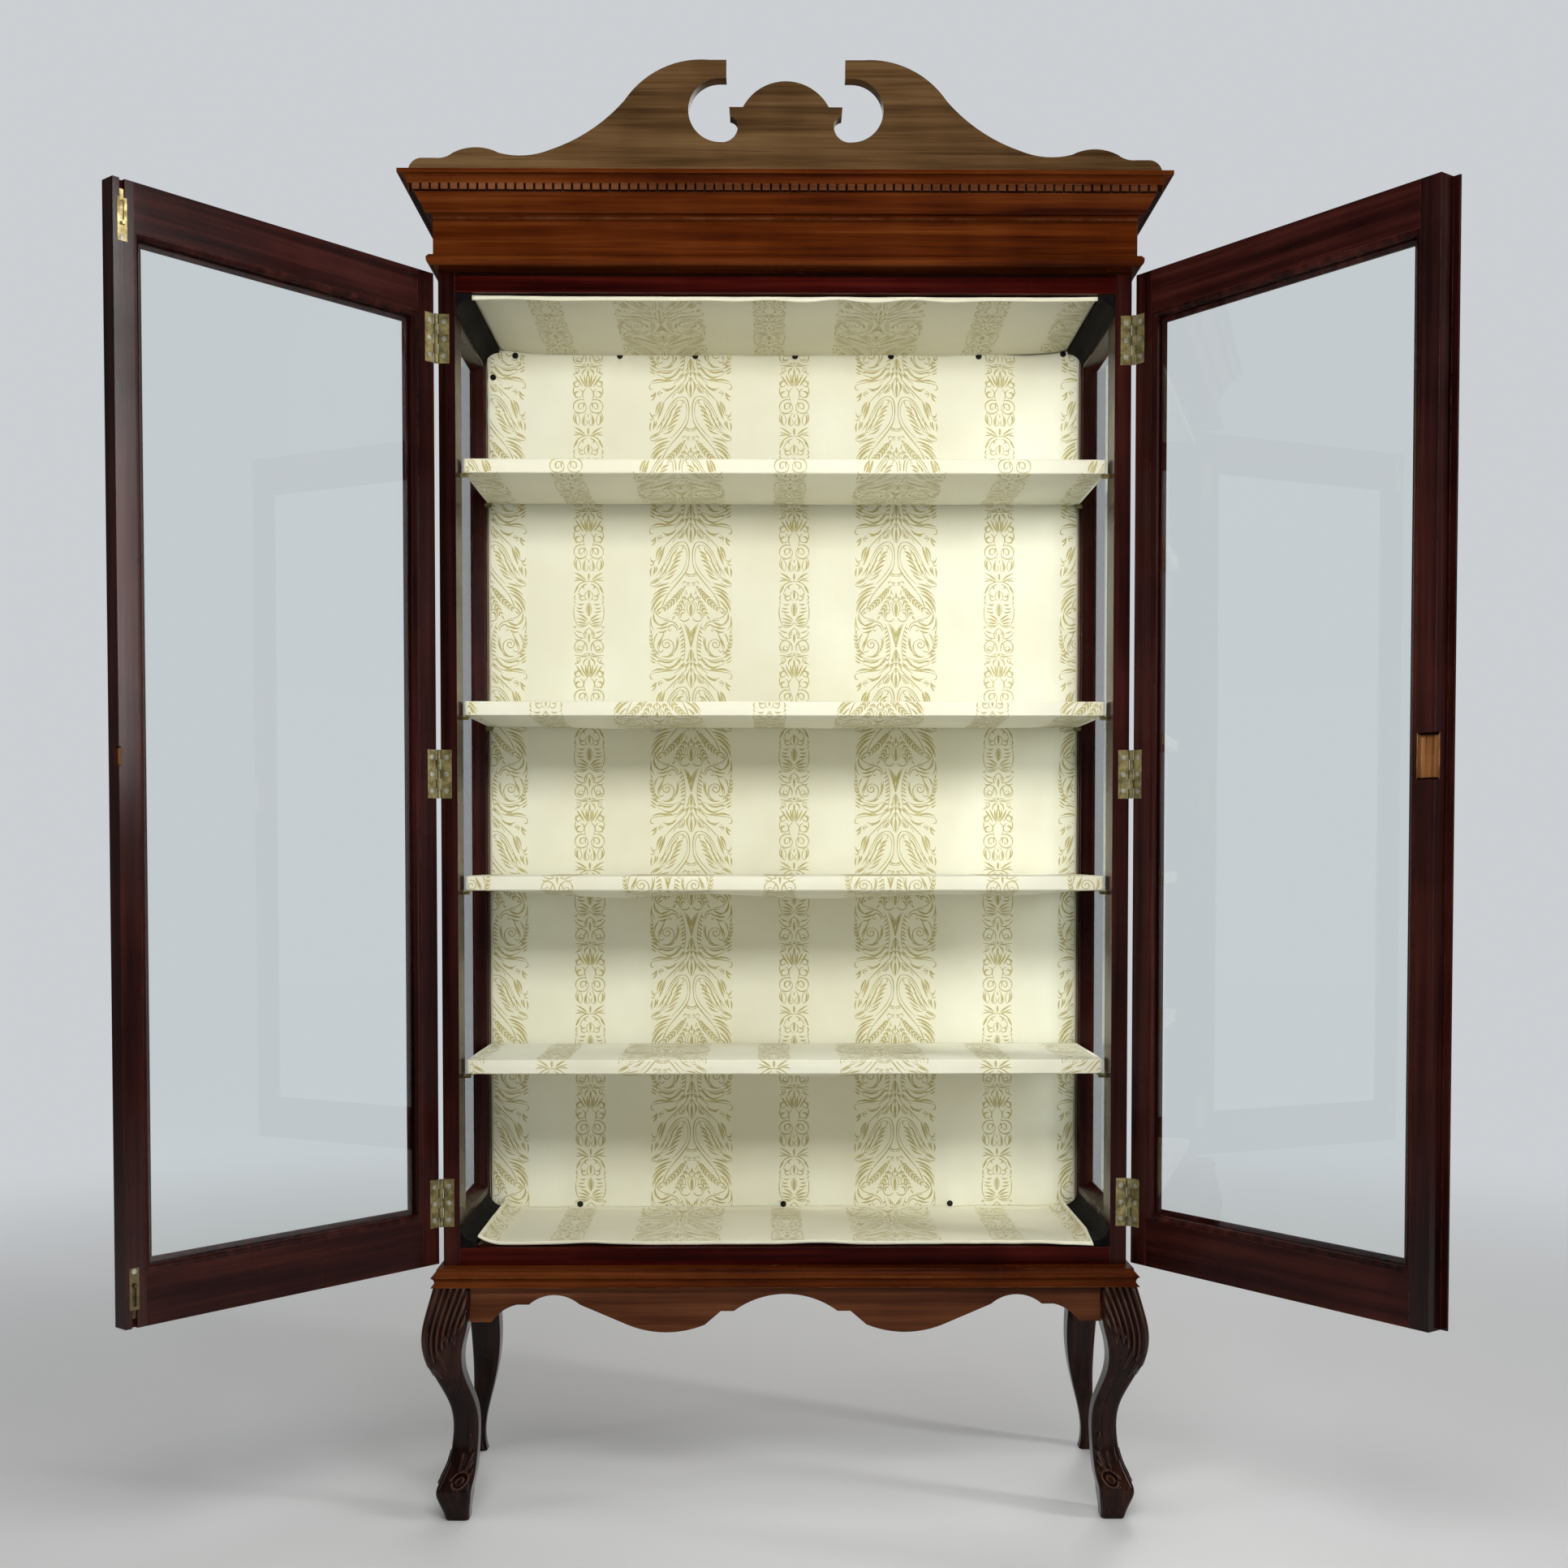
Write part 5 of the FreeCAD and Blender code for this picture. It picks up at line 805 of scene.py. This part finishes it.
def layFloor(u, v):
    c = floorCloth
    s = np.clip((v - c["front"]) / (c["back"] - c["front"]), 0, 1)
    fromEnd = c["half"] - np.abs(u)
    turned = c["turnUp"] * np.clip(1 - fromEnd / c["turnWidth"], 0, 1) ** 2
    turned = turned + c["backUp"] * np.clip((v - c["back"] + c["backWidth"]) / c["backWidth"], 0, 1) ** 2
    fromHem = np.minimum(fromEnd, v - c["front"])
    hem = 1.6 * c["hem"] * np.sqrt(np.clip(1 - ((fromHem - c["hem"]) / c["hem"]) ** 2, 0, 1))
    ripple = c["ripple"] * (1 + wander(u, v, 21, 0.16)) + c["fineRipple"] * (1 + wander(u, v, 5, 0.07))
    lip = c["lip"] * np.clip(np.sin(2 * np.pi * u / c["lipPitch"] + 0.6), 0, 1) ** 3 * np.exp(-s / 0.08)
    flap = np.clip((u - c["flapFrom"]) / c["flapWidth"], 0, 1) * np.clip(1 - s / c["flapDeep"], 0, 1)
    y = v - c["flapOut"] * flap
    z = c["level"] + turned * (1 - flap) + hem + ripple + lip
    return np.stack([u, y, z], -1)


c = floorCloth
floorSatin = satin("satin_floor", c["shift"], c["yellowingAndShade"])
hemSteps = np.linspace(0, 2 * c["hem"], c["hemSteps"])
flatUs = np.linspace(-c["flatHalf"], c["flatHalf"], c["grid"][0])
flatVs = np.linspace(c["front"] + c["flatFrom"], c["back"], c["grid"][1])
floorUs = np.concatenate([hemSteps - c["half"], flatUs, c["half"] - hemSteps[::-1]])
floorVs = np.concatenate([c["front"] + hemSteps, flatVs])
floorLining = sheetPiece("floorLining", layFloor, floorUs, floorVs, floorSatin)
floorFigures = figurePieces("floorFigure", layFloor, floorUs, floorVs, c["shift"], c["start"])
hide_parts("floor_lining")
print("ceiling and floor cloths")

# shelf covers: a sleeve of cloth round each board, hanging slack underneath
coverCut = dict(half=0.4255, clear=0.0011, bend=0.003, bendReach=0.004, slackPitch=0.30, frontDrift=0.0005,
                topDrift=0.00035, yellowingAndShade=0.12, thick=0.0005)
covers = {
    "top_shelf": dict(sag=0.0075, wave=0.35, shift=-0.008, start=0.03, seed=31),
    "second_shelf": dict(sag=0.0085, wave=0.30, shift=-0.036, start=0.10, seed=32),
    "third_shelf": dict(sag=0.0135, wave=0.45, shift=-0.022, start=0.16, seed=33),
    "bottom_shelf": dict(sag=0.0125, wave=0.40, shift=-0.030, start=0.07, seed=34),
}


def sleeveLay(low, high, c):
    gap, r = coverCut["clear"], coverCut["bend"]
    y0, y1, z0, z1 = low[1] - gap, high[1] + gap, low[2] - gap, high[2] + gap
    deep, tall = y1 - y0, z1 - z0
    # the flat cut starts at the back edge underneath and goes forward, up the front, back over the top, down
    lengths = np.cumsum([0, deep, tall, deep, tall])
    front, top, rear, end = lengths[1:]
    yStops = [(0, y1), (front - r, y0 + r * 0.9), (front, y0), (top, y0), (top + r, y0 + r * 0.9), (rear, y1),
              (end, y1)]
    zStops = [(0, z0), (front - r, z0), (front, z0 + r * 0.25), (front + r, z0 + r), (top - r, z1 - r),
              (top, z1 - r * 0.25), (top + r, z1), (rear, z1), (end, z0)]

    def lay(u, v):
        t = np.clip(v, 0, end)
        y, z = np.interp(t, *zip(*yStops)), np.interp(t, *zip(*zStops))
        s = np.clip(t / front, 0, 1)
        slack = 0.5 + 0.5 * np.sin(2 * np.pi * (u + 0.01 * c["seed"]) / coverCut["slackPitch"])
        belly = (1 - np.abs(u / coverCut["half"]) ** 3.5) * (1 - c["wave"] + c["wave"] * slack)
        belly = belly * (1 + 0.25 * wander(u, v, c["seed"], 0.3))
        z = z - np.where(t < front, c["sag"] * belly * np.sin(np.pi * s) ** 0.8, 0)
        onFront = np.clip(1 - np.abs(t - 0.5 * (front + top)) / (0.5 * tall), 0, 1)
        y = y - coverCut["frontDrift"] * onFront * (1 + wander(u, v, c["seed"] + 9, 0.12))
        onTop = (t > top + 0.01) & (t < rear)
        z = z + np.where(onTop, coverCut["topDrift"] * (1 + wander(u, v, c["seed"] + 4, 0.14)), 0)
        return np.stack([u, y, z], -1)

    return lay, lengths


for name, c in covers.items():
    low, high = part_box(name + "_board")
    lay, lengths = sleeveLay(low, high, c)
    front, top, rear, end = lengths[1:]
    us = np.linspace(-coverCut["half"], coverCut["half"], 200)
    bend = np.linspace(-coverCut["bendReach"], coverCut["bendReach"], 7)
    vs = np.unique(np.concatenate([
        np.linspace(0, front, 46), front + bend, np.linspace(front, top, 9), top + bend,
        np.linspace(top, rear, 40), np.linspace(rear, end - 0.0005, 8)]))
    cloth = satin("satin_" + name, c["shift"], coverCut["yellowingAndShade"])
    cover = sheetPiece(name + "Cover", lay, us, vs, cloth, coverCut["thick"])
    figures = figurePieces(name + "Figure", lay, us, vs, c["shift"], c["start"])
    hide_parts(name + "_cover")
    for piece in (cover, *figures):
        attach(piece, name)
    name + "_board"
print("shelf covers")

# carved front legs: squared cabriole legs with a fluted leaf on the knee and a scroll on the foot; mm
carvedLeg = dict(
    edgeX=458, edgeY=171, tall=312, corner=7.0, fluteStep=8.4, fluteDeep=4.4, fluteFan=0.0022, leafRaise=1.6,
    tipHeight=204, tipSlope=1.25, tipPoint=7, bead=(29, 249, 5.2), beadRaise=3.4, scroll=(26, 55),
    scrollRadius=8.0, line=13.0, lineWide=0.8, lineDeep=1.2, lineStart=(92, 110), lineEnd=(248, 258),
    sections=[(0, -9.5, 31), (14, -5.5, 36), (28, -0.5, 43), (40, 1.5, 46), (54, -3.5, 44), (74, -12.0, 38),
              (101, -17.5, 34), (149.5, -15.25, 34), (198, 4, 40), (243, 14, 52), (262, 12.5, 55),
              (280, 8.5, 52.5), (312, 0, 44)],
    stretches=[(0, 20, 8), (20, 125, 110), (125, 190, 24), (190, 312, 130)],
    kneeLeaves=[(7, 226, 0.10, 34), (17, 236, 0.16, 32), (38, 262, 0.1, 22)],
    footLeaves=[(27, 63, 0.22, 34, 5.2), (19, 66, -0.05, 22, 3.2), (26, 90, -0.1, 24, 4.0),
                (36, 60, 0.1, 22, 2.8)],
    kneeLeaf=dict(fat=4.2, raised=3.0, vein=1.1, veinWidth=0.22),
    footLeaf=dict(raised=2.9, vein=1.3, veinWidth=0.2))


def throughPoints(xs, ys, at):
    xs, ys = np.array(xs, float), np.array(ys, float)
    h = np.diff(xs)
    m = np.eye(len(xs))
    rhs = np.zeros(len(xs))
    for i in range(1, len(xs) - 1):
        m[i, i - 1:i + 2] = h[i - 1], 2 * (h[i - 1] + h[i]), h[i]
        rhs[i] = 6 * ((ys[i + 1] - ys[i]) / h[i] - (ys[i] - ys[i - 1]) / h[i - 1])
    bend = np.linalg.solve(m, rhs)
    k = np.clip(np.searchsorted(xs, at) - 1, 0, len(h) - 1)
    p, q, step = xs[k + 1] - at, at - xs[k], h[k]
    cubic = (bend[k] * p ** 3 + bend[k + 1] * q ** 3) / (6 * step)
    return cubic + (ys[k] / step - bend[k] * step / 6) * p + (ys[k + 1] / step - bend[k + 1] * step / 6) * q


def rise(x, low, high):
    t = np.clip((x - low) / (high - low), 0, 1)
    return t * t * (3 - 2 * t)


def leafRelief(along, offset, rest, fat, raised, vein, veinWidth):
    belly = np.sqrt(np.clip(np.sin(np.pi * np.clip(along, 0, 1)), 1e-4, 1))
    across = offset / (fat * belly)
    shape = raised * (1 - across ** 2) - vein * np.exp(-(across / veinWidth) ** 2)
    return np.where((along > 0) & (along < 1), shape, rest)


def carving(s, z, width):
    c = carvedLeg
    # flutes fan over the knee and end in pointed leaf tips
    fan = s / (c["fluteStep"] * (1 - c["fluteFan"] * (c["tall"] - z)))
    ridge = np.abs(np.sin(np.pi * fan)) ** 0.75
    tip = c["tipHeight"] + c["tipSlope"] * s + c["tipPoint"] * np.sin(np.pi * fan * 0.5) ** 2
    on = rise(z - tip + 9 * ridge, 0, 7)
    relief = on * (c["leafRaise"] + c["fluteDeep"] * (ridge - 0.55))
    beadX, beadZ, beadRadius = c["bead"]
    bead = np.hypot(s - beadX, (z - beadZ) * 1.1)
    relief = np.maximum(relief, c["beadRaise"] * np.sqrt(np.clip(1 - (bead / beadRadius) ** 2, 0, 1)))
    for x, top, lean, long in c["kneeLeaves"]:
        offset = s - x - lean * (top - z)
        relief = np.maximum(relief, leafRelief((top - z) / long, offset, 0, **c["kneeLeaf"]))
    # scratched line down the inner edge
    line = np.exp(-((s - (width - c["line"])) / c["lineWide"]) ** 2)
    line = line * rise(z, *c["lineStart"]) * (1 - rise(z, *c["lineEnd"]))
    relief = relief - c["lineDeep"] * line
    # scroll on the foot, leaf above it
    sx, sz = c["scroll"]
    radius = c["scrollRadius"]
    away, turn = np.hypot(s - sx, z - sz), np.arctan2(z - sz, s - sx)
    disc = rise(radius * 0.72 - away, -0.8, 0.8) * 2.4
    ring = 2.8 * np.exp(-((away - radius * (1.25 + 0.07 * turn)) / 1.9) ** 2)
    ring = ring - 1.8 * np.exp(-((away - radius * 0.88) / 1.1) ** 2)
    relief = relief + disc + ring * (turn > -2.9)
    for x, foot, lean, long, fat in c["footLeaves"]:
        offset = s - x - lean * (z - foot)
        relief = np.maximum(relief, leafRelief((z - foot) / long, offset, relief, fat, **c["footLeaf"]))
    return relief


def carvedLegPiece(name, leg, sign):
    c = carvedLeg
    zs = np.unique(np.concatenate([np.linspace(*stretch) for stretch in c["stretches"]]))
    heights, outward, across = zip(*c["sections"])
    outs, wide = throughPoints(heights, outward, zs), throughPoints(heights, across, zs)
    r, half = c["corner"], wide / 2
    columns = []
    # round the leg from its outer side: each face, then the corner after it
    for (n, m), steps in zip([(1, 0), (0, 1), (-1, 0), (0, -1)], [62, 62, 14, 14]):
        for f in np.linspace(-1, 1, steps):
            columns.append((n * half - m * f * (half - r), m * half + n * f * (half - r), n, m))
        for a in np.linspace(0, np.pi / 2, 9)[1:-1]:
            x, y = n * math.cos(a) - m * math.sin(a), m * math.cos(a) + n * math.sin(a)
            columns.append(((n - m) * (half - r) + r * x, (m + n) * (half - r) + r * y, x, y))
    p, q = (np.stack([column[k] - half for column in columns], 1) for k in (0, 1))
    n, m = (np.array([column[k] for column in columns], float) for k in (2, 3))
    z, width = zs[:, None] + 0 * p, wide[:, None] + 0 * p
    faced = np.maximum(n, 0) + np.maximum(m, 0) > 0.5
    s = np.where(m > n, -p, -q)
    relief = carving(s, z, width) * faced * rise(width - s, 1.5, 6)
    p, q = p + n * relief + outs[:, None] + c["edgeX"], q + m * relief + outs[:, None] + c["edgeY"]
    points = np.stack([sign * p, -q, z], -1).reshape(-1, 3) * 0.001
    count = p.shape[1]
    last = len(points) - count
    faces = gridFaces(len(zs), count, True).tolist()
    faces += [list(range(count))[::-1], list(range(last, last + count))]
    if sign > 0:
        faces = [face[::-1] for face in faces]
    piece = meshPiece(name, points, faces, polishedWood("carved", "z", rubbed=True))
    # relief above its surroundings is painted pale, a painted highlight with rubbed wear, and relief below
    # them painted dark
    around = sum(np.roll(relief, k, 1) + np.roll(relief, k, 0) for k in range(-6, 7)) / 26
    height = piece.data.attributes.new("rubbed", "FLOAT", "POINT")
    height.data.foreach_set("value", np.clip(0.5 + 0.3 * (relief - around), 0, 1).ravel().astype(np.float32))
    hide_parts(leg)
    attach(piece, "case")


carvedLegPiece("frontLeftCarved", "front_left_leg", -1)
carvedLegPiece("frontRightCarved", "front_right_leg", 1)
print("carved legs")

# bare wood where a lock was let into the right door and its strike into the left; mm from the hinge axis
bareSpots = {
    "lockBed": dict(door="right", along=(428.9, 452.3), back=(-1.4, -10.85), wall=0.28,
                    height=(960.8, 1013.2), rough=0.45),
    "strikeBed": dict(door="left", along=(449.8, 449.8), back=(-8.8, -1.2), wall=0.99,
                      height=(976.3, 997.7), rough=0.25),
}
bareGrid, bareSkin = (25, 26), 0.0001
chips = dict(size=(24, 53), seed=77, scale=9.0)
hinges = {"left": (-0.4539, -0.146, 1), "right": (0.4539, -0.146, -1)}


def onDoor(door, along, back, height):
    x0, y0, way = hinges[door]
    turn = math.radians(doorTurns[door])
    x, y = way * along, back
    over, deep = x * math.cos(turn) - y * math.sin(turn), x * math.sin(turn) + y * math.cos(turn)
    return np.stack([x0 + 0.001 * over, y0 + 0.001 * deep, 0.001 * height], -1)


def between(ends, share):
    return ends[0] + share * (ends[1] - ends[0])


for name, spot in bareSpots.items():
    g, h = np.meshgrid(np.linspace(0, 1, bareGrid[1]), np.linspace(0, 1, bareGrid[0]))
    wall, onRight = spot["wall"], spot["door"] == "right"
    down, out = np.clip(g / wall, 0, 1), np.clip((g - wall) / (1 - wall), 0, 1)
    along, back, height = between(spot["along"], out), between(spot["back"], down), between(spot["height"], h)
    chip = wander(g * chips["size"][0], h * chips["size"][1], chips["seed"], chips["scale"])
    chip = spot["rough"] * (1 + chip) * np.sin(np.pi * g) * np.sin(np.pi * h)
    if onRight:
        back = back + chip * (out > 0)
    else:
        along = along + chip
    faces = gridFaces(*bareGrid)
    points = onDoor(spot["door"], along, back, height).reshape(-1, 3)
    piece = meshPiece(name, points, faces[:, ::-1] if onRight else faces, polishedWood("raw", "z"))
    thick = piece.modifiers.new("thickness", "SOLIDIFY")
    thick.thickness, thick.offset = bareSkin, -1
    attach(piece, spot["door"] + "_door")

# black domed tacks along the back cloth
tack = dict(radius=0.0045, height=0.0027, sunk=0.001, proud=0.0002, rings=5, sides=18, row=1.5958,
            lastRaise=0.004, cornerTack=(-0.4184, 1.5645), footHeights=[0.3675, 0.3672, 0.3678])


def domeShape(name, finish):
    radius, height, rings, sides = (tack[key] for key in ("radius", "height", "rings", "sides"))
    around = np.linspace(0, 2 * np.pi, sides, endpoint=False)
    points = [(0, 0, height)]
    for a in np.linspace(0, np.pi / 2, rings + 1)[1:]:
        out = radius * math.sin(a)
        points += [(out * math.cos(b), out * math.sin(b), height * math.cos(a)) for b in around]
    points += [(radius * math.cos(b), radius * math.sin(b), -tack["sunk"]) for b in around]
    faces = [(0, 1 + j, 1 + (j + 1) % sides) for j in range(sides)]
    faces += (gridFaces(rings + 1, sides, True)[:, ::-1] + 1).tolist()
    faces.append(range(len(points) - 1, len(points) - 1 - sides, -1))
    return meshPiece(name, points, faces, finish)


tackShape = domeShape("tack_shape", tackBlack)
spots = [(x, tack["row"]) for x in backCloth["tacks"][:-1]]
spots += [(backCloth["tacks"][-1], tack["row"] + tack["lastRaise"]), tack["cornerTack"]]
spots += list(zip(backCloth["footTacks"], tack["footHeights"]))
tackPlaces = [layBack(np.array(x), np.array(z)) + np.array([0, -tack["proud"], 0]) for x, z in spots]
backTacks = repeated("backTacks", tackPlaces, tackShape, tackBlack, turn=(math.pi / 2, 0, 0))
spare(tackShape)
for piece in (backLining, *backFigures, ceilingLining, *ceilingFigures, floorLining, *floorFigures):
    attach(piece, "case")
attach(backTacks, "case")
spare(wideShape)
spare(narrowShape)
print("tacks")

# studio: pale floor that melts into the backdrop, soft lamps and the photograph's camera
studio = dict(backdrop=(0.60, 0.625, 0.65), floor=(0.70, 0.70, 0.695), floorRough=0.5, reach=9.0,
              fadeFrom=0.9, fadeTo=3.4, ambient=0.08, glossShare=0.06)
backdrop = (*studio["backdrop"], 1)


def looks(graph):
    rays = graph.add("ShaderNodeLightPath").socket.node.outputs
    kinds = ("Camera", "Transmission", "Glossy")
    camera, through, gloss = (Wire(graph, rays["Is %s Ray" % kind]) for kind in kinds)
    return camera + through, gloss


f = Finish("studio_floor")
away = f.add("ShaderNodeVectorMath", {"operation": "LENGTH"}, {0: f.place()}, out=1)
lit = f.add("ShaderNodeBsdfPrincipled", None, {
    "Base Color": (*studio["floor"], 1), "Roughness": studio["floorRough"]})
glow = f.add("ShaderNodeEmission", None, {"Color": backdrop, "Strength": 1.0})
melt = f.add("ShaderNodeMapRange", {"interpolation_type": "SMOOTHSTEP"}, {
    0: away, 1: studio["fadeFrom"], 2: studio["fadeTo"]})
mixed = f.add("ShaderNodeMixShader", None, {0: melt * looks(f)[0], 1: lit, 2: glow})
f.add("ShaderNodeOutputMaterial", None, {"Surface": mixed})
r = studio["reach"]
floor = meshPiece("studioFloor", [(-r, -r, 0), (r, -r, 0), (r, r, 0), (-r, r, 0)], [(0, 1, 2, 3)], f.material)
world = bpy.data.worlds.new("studio")
scene.world = world
world.use_nodes = True
world.node_tree.nodes.clear()
w = Graph(world.node_tree)
looked, gloss = looks(w)
soft = w.add("ShaderNodeBackground", None, {"Color": (1, 1, 1, 1), "Strength": studio["ambient"]})
shown = w.add("ShaderNodeBackground", None, {"Color": backdrop, "Strength": 1.0})
mixed = w.add("ShaderNodeMixShader", None, {0: looked + gloss * studio["glossShare"], 1: soft, 2: shown})
w.add("ShaderNodeOutputWorld", None, {"Surface": mixed})

lamps = {
    "keyLamp": dict(place=(0.0, -1.62, 1.62), target=(0, 0, 1.05), size=(1.1, 0.4), watts=24.5,
                    mirrored=False),
    "frontLamp": dict(place=(0.0, -3.9, 0.95), target=(0, 0, 0.9), size=(1.8, 1.1), watts=4),
    "leftLamp": dict(place=(-3.3, -1.5, 1.9), target=(0, -0.2, 1.0), size=(0.6, 1.6), watts=9),
    "rightLamp": dict(place=(3.3, -1.44, 2.05), target=(-0.7, -0.5, 1.25), size=(0.26, 1.9), watts=42),
    "legLamp": dict(place=(1.5, -3.0, 0.55), target=(0, -0.15, 0.2), size=(0.2, 0.9), watts=7),
    "topLamp": dict(place=(0.0, -0.4, 4.2), target=(0, 0, 1.0), size=(2.4, 1.6), watts=40),
    "backLamp": dict(place=(0.5, 3.3, 2.6), target=(0, 0, 1.0), size=(2.4, 1.6), watts=55),
}
for name, lamp in lamps.items():
    light = bpy.data.lights.new(name, "AREA")
    light.shape, light.size, light.size_y, light.energy = "RECTANGLE", *lamp["size"], lamp["watts"]
    piece = bpy.data.objects.new(name, light)
    piece.location = lamp["place"]
    aim = Vector(lamp["target"]) - Vector(lamp["place"])
    piece.rotation_euler = aim.to_track_quat("-Z", "Y").to_euler()
    piece.visible_camera = piece.visible_transmission = False
    piece.visible_glossy = lamp.get("mirrored", True)
    scene.collection.objects.link(piece)

# the photograph's camera: wide, focal and middleRow in its pixels, sensor in mm, eye in m, turns in degrees
photo = dict(wide=1932, focal=2265.8, middleRow=1130.76, sensor=36.0, eye=(-0.02325, -2.5606, 0.8722),
             down=1.847, right=0.505)
camera = bpy.data.cameras.new("photoCamera")
camera.sensor_width = photo["sensor"]
camera.lens = photo["focal"] / photo["wide"] * photo["sensor"]
camera.shift_y = (photo["middleRow"] - photo["wide"] / 2) / photo["wide"]
eye = bpy.data.objects.new("photoCamera", camera)
eye.location = photo["eye"]
eye.rotation_euler = (math.pi / 2 - math.radians(photo["down"]), 0, -math.radians(photo["right"]))
scene.collection.objects.link(eye)
scene.camera = eye

print("scene ready")
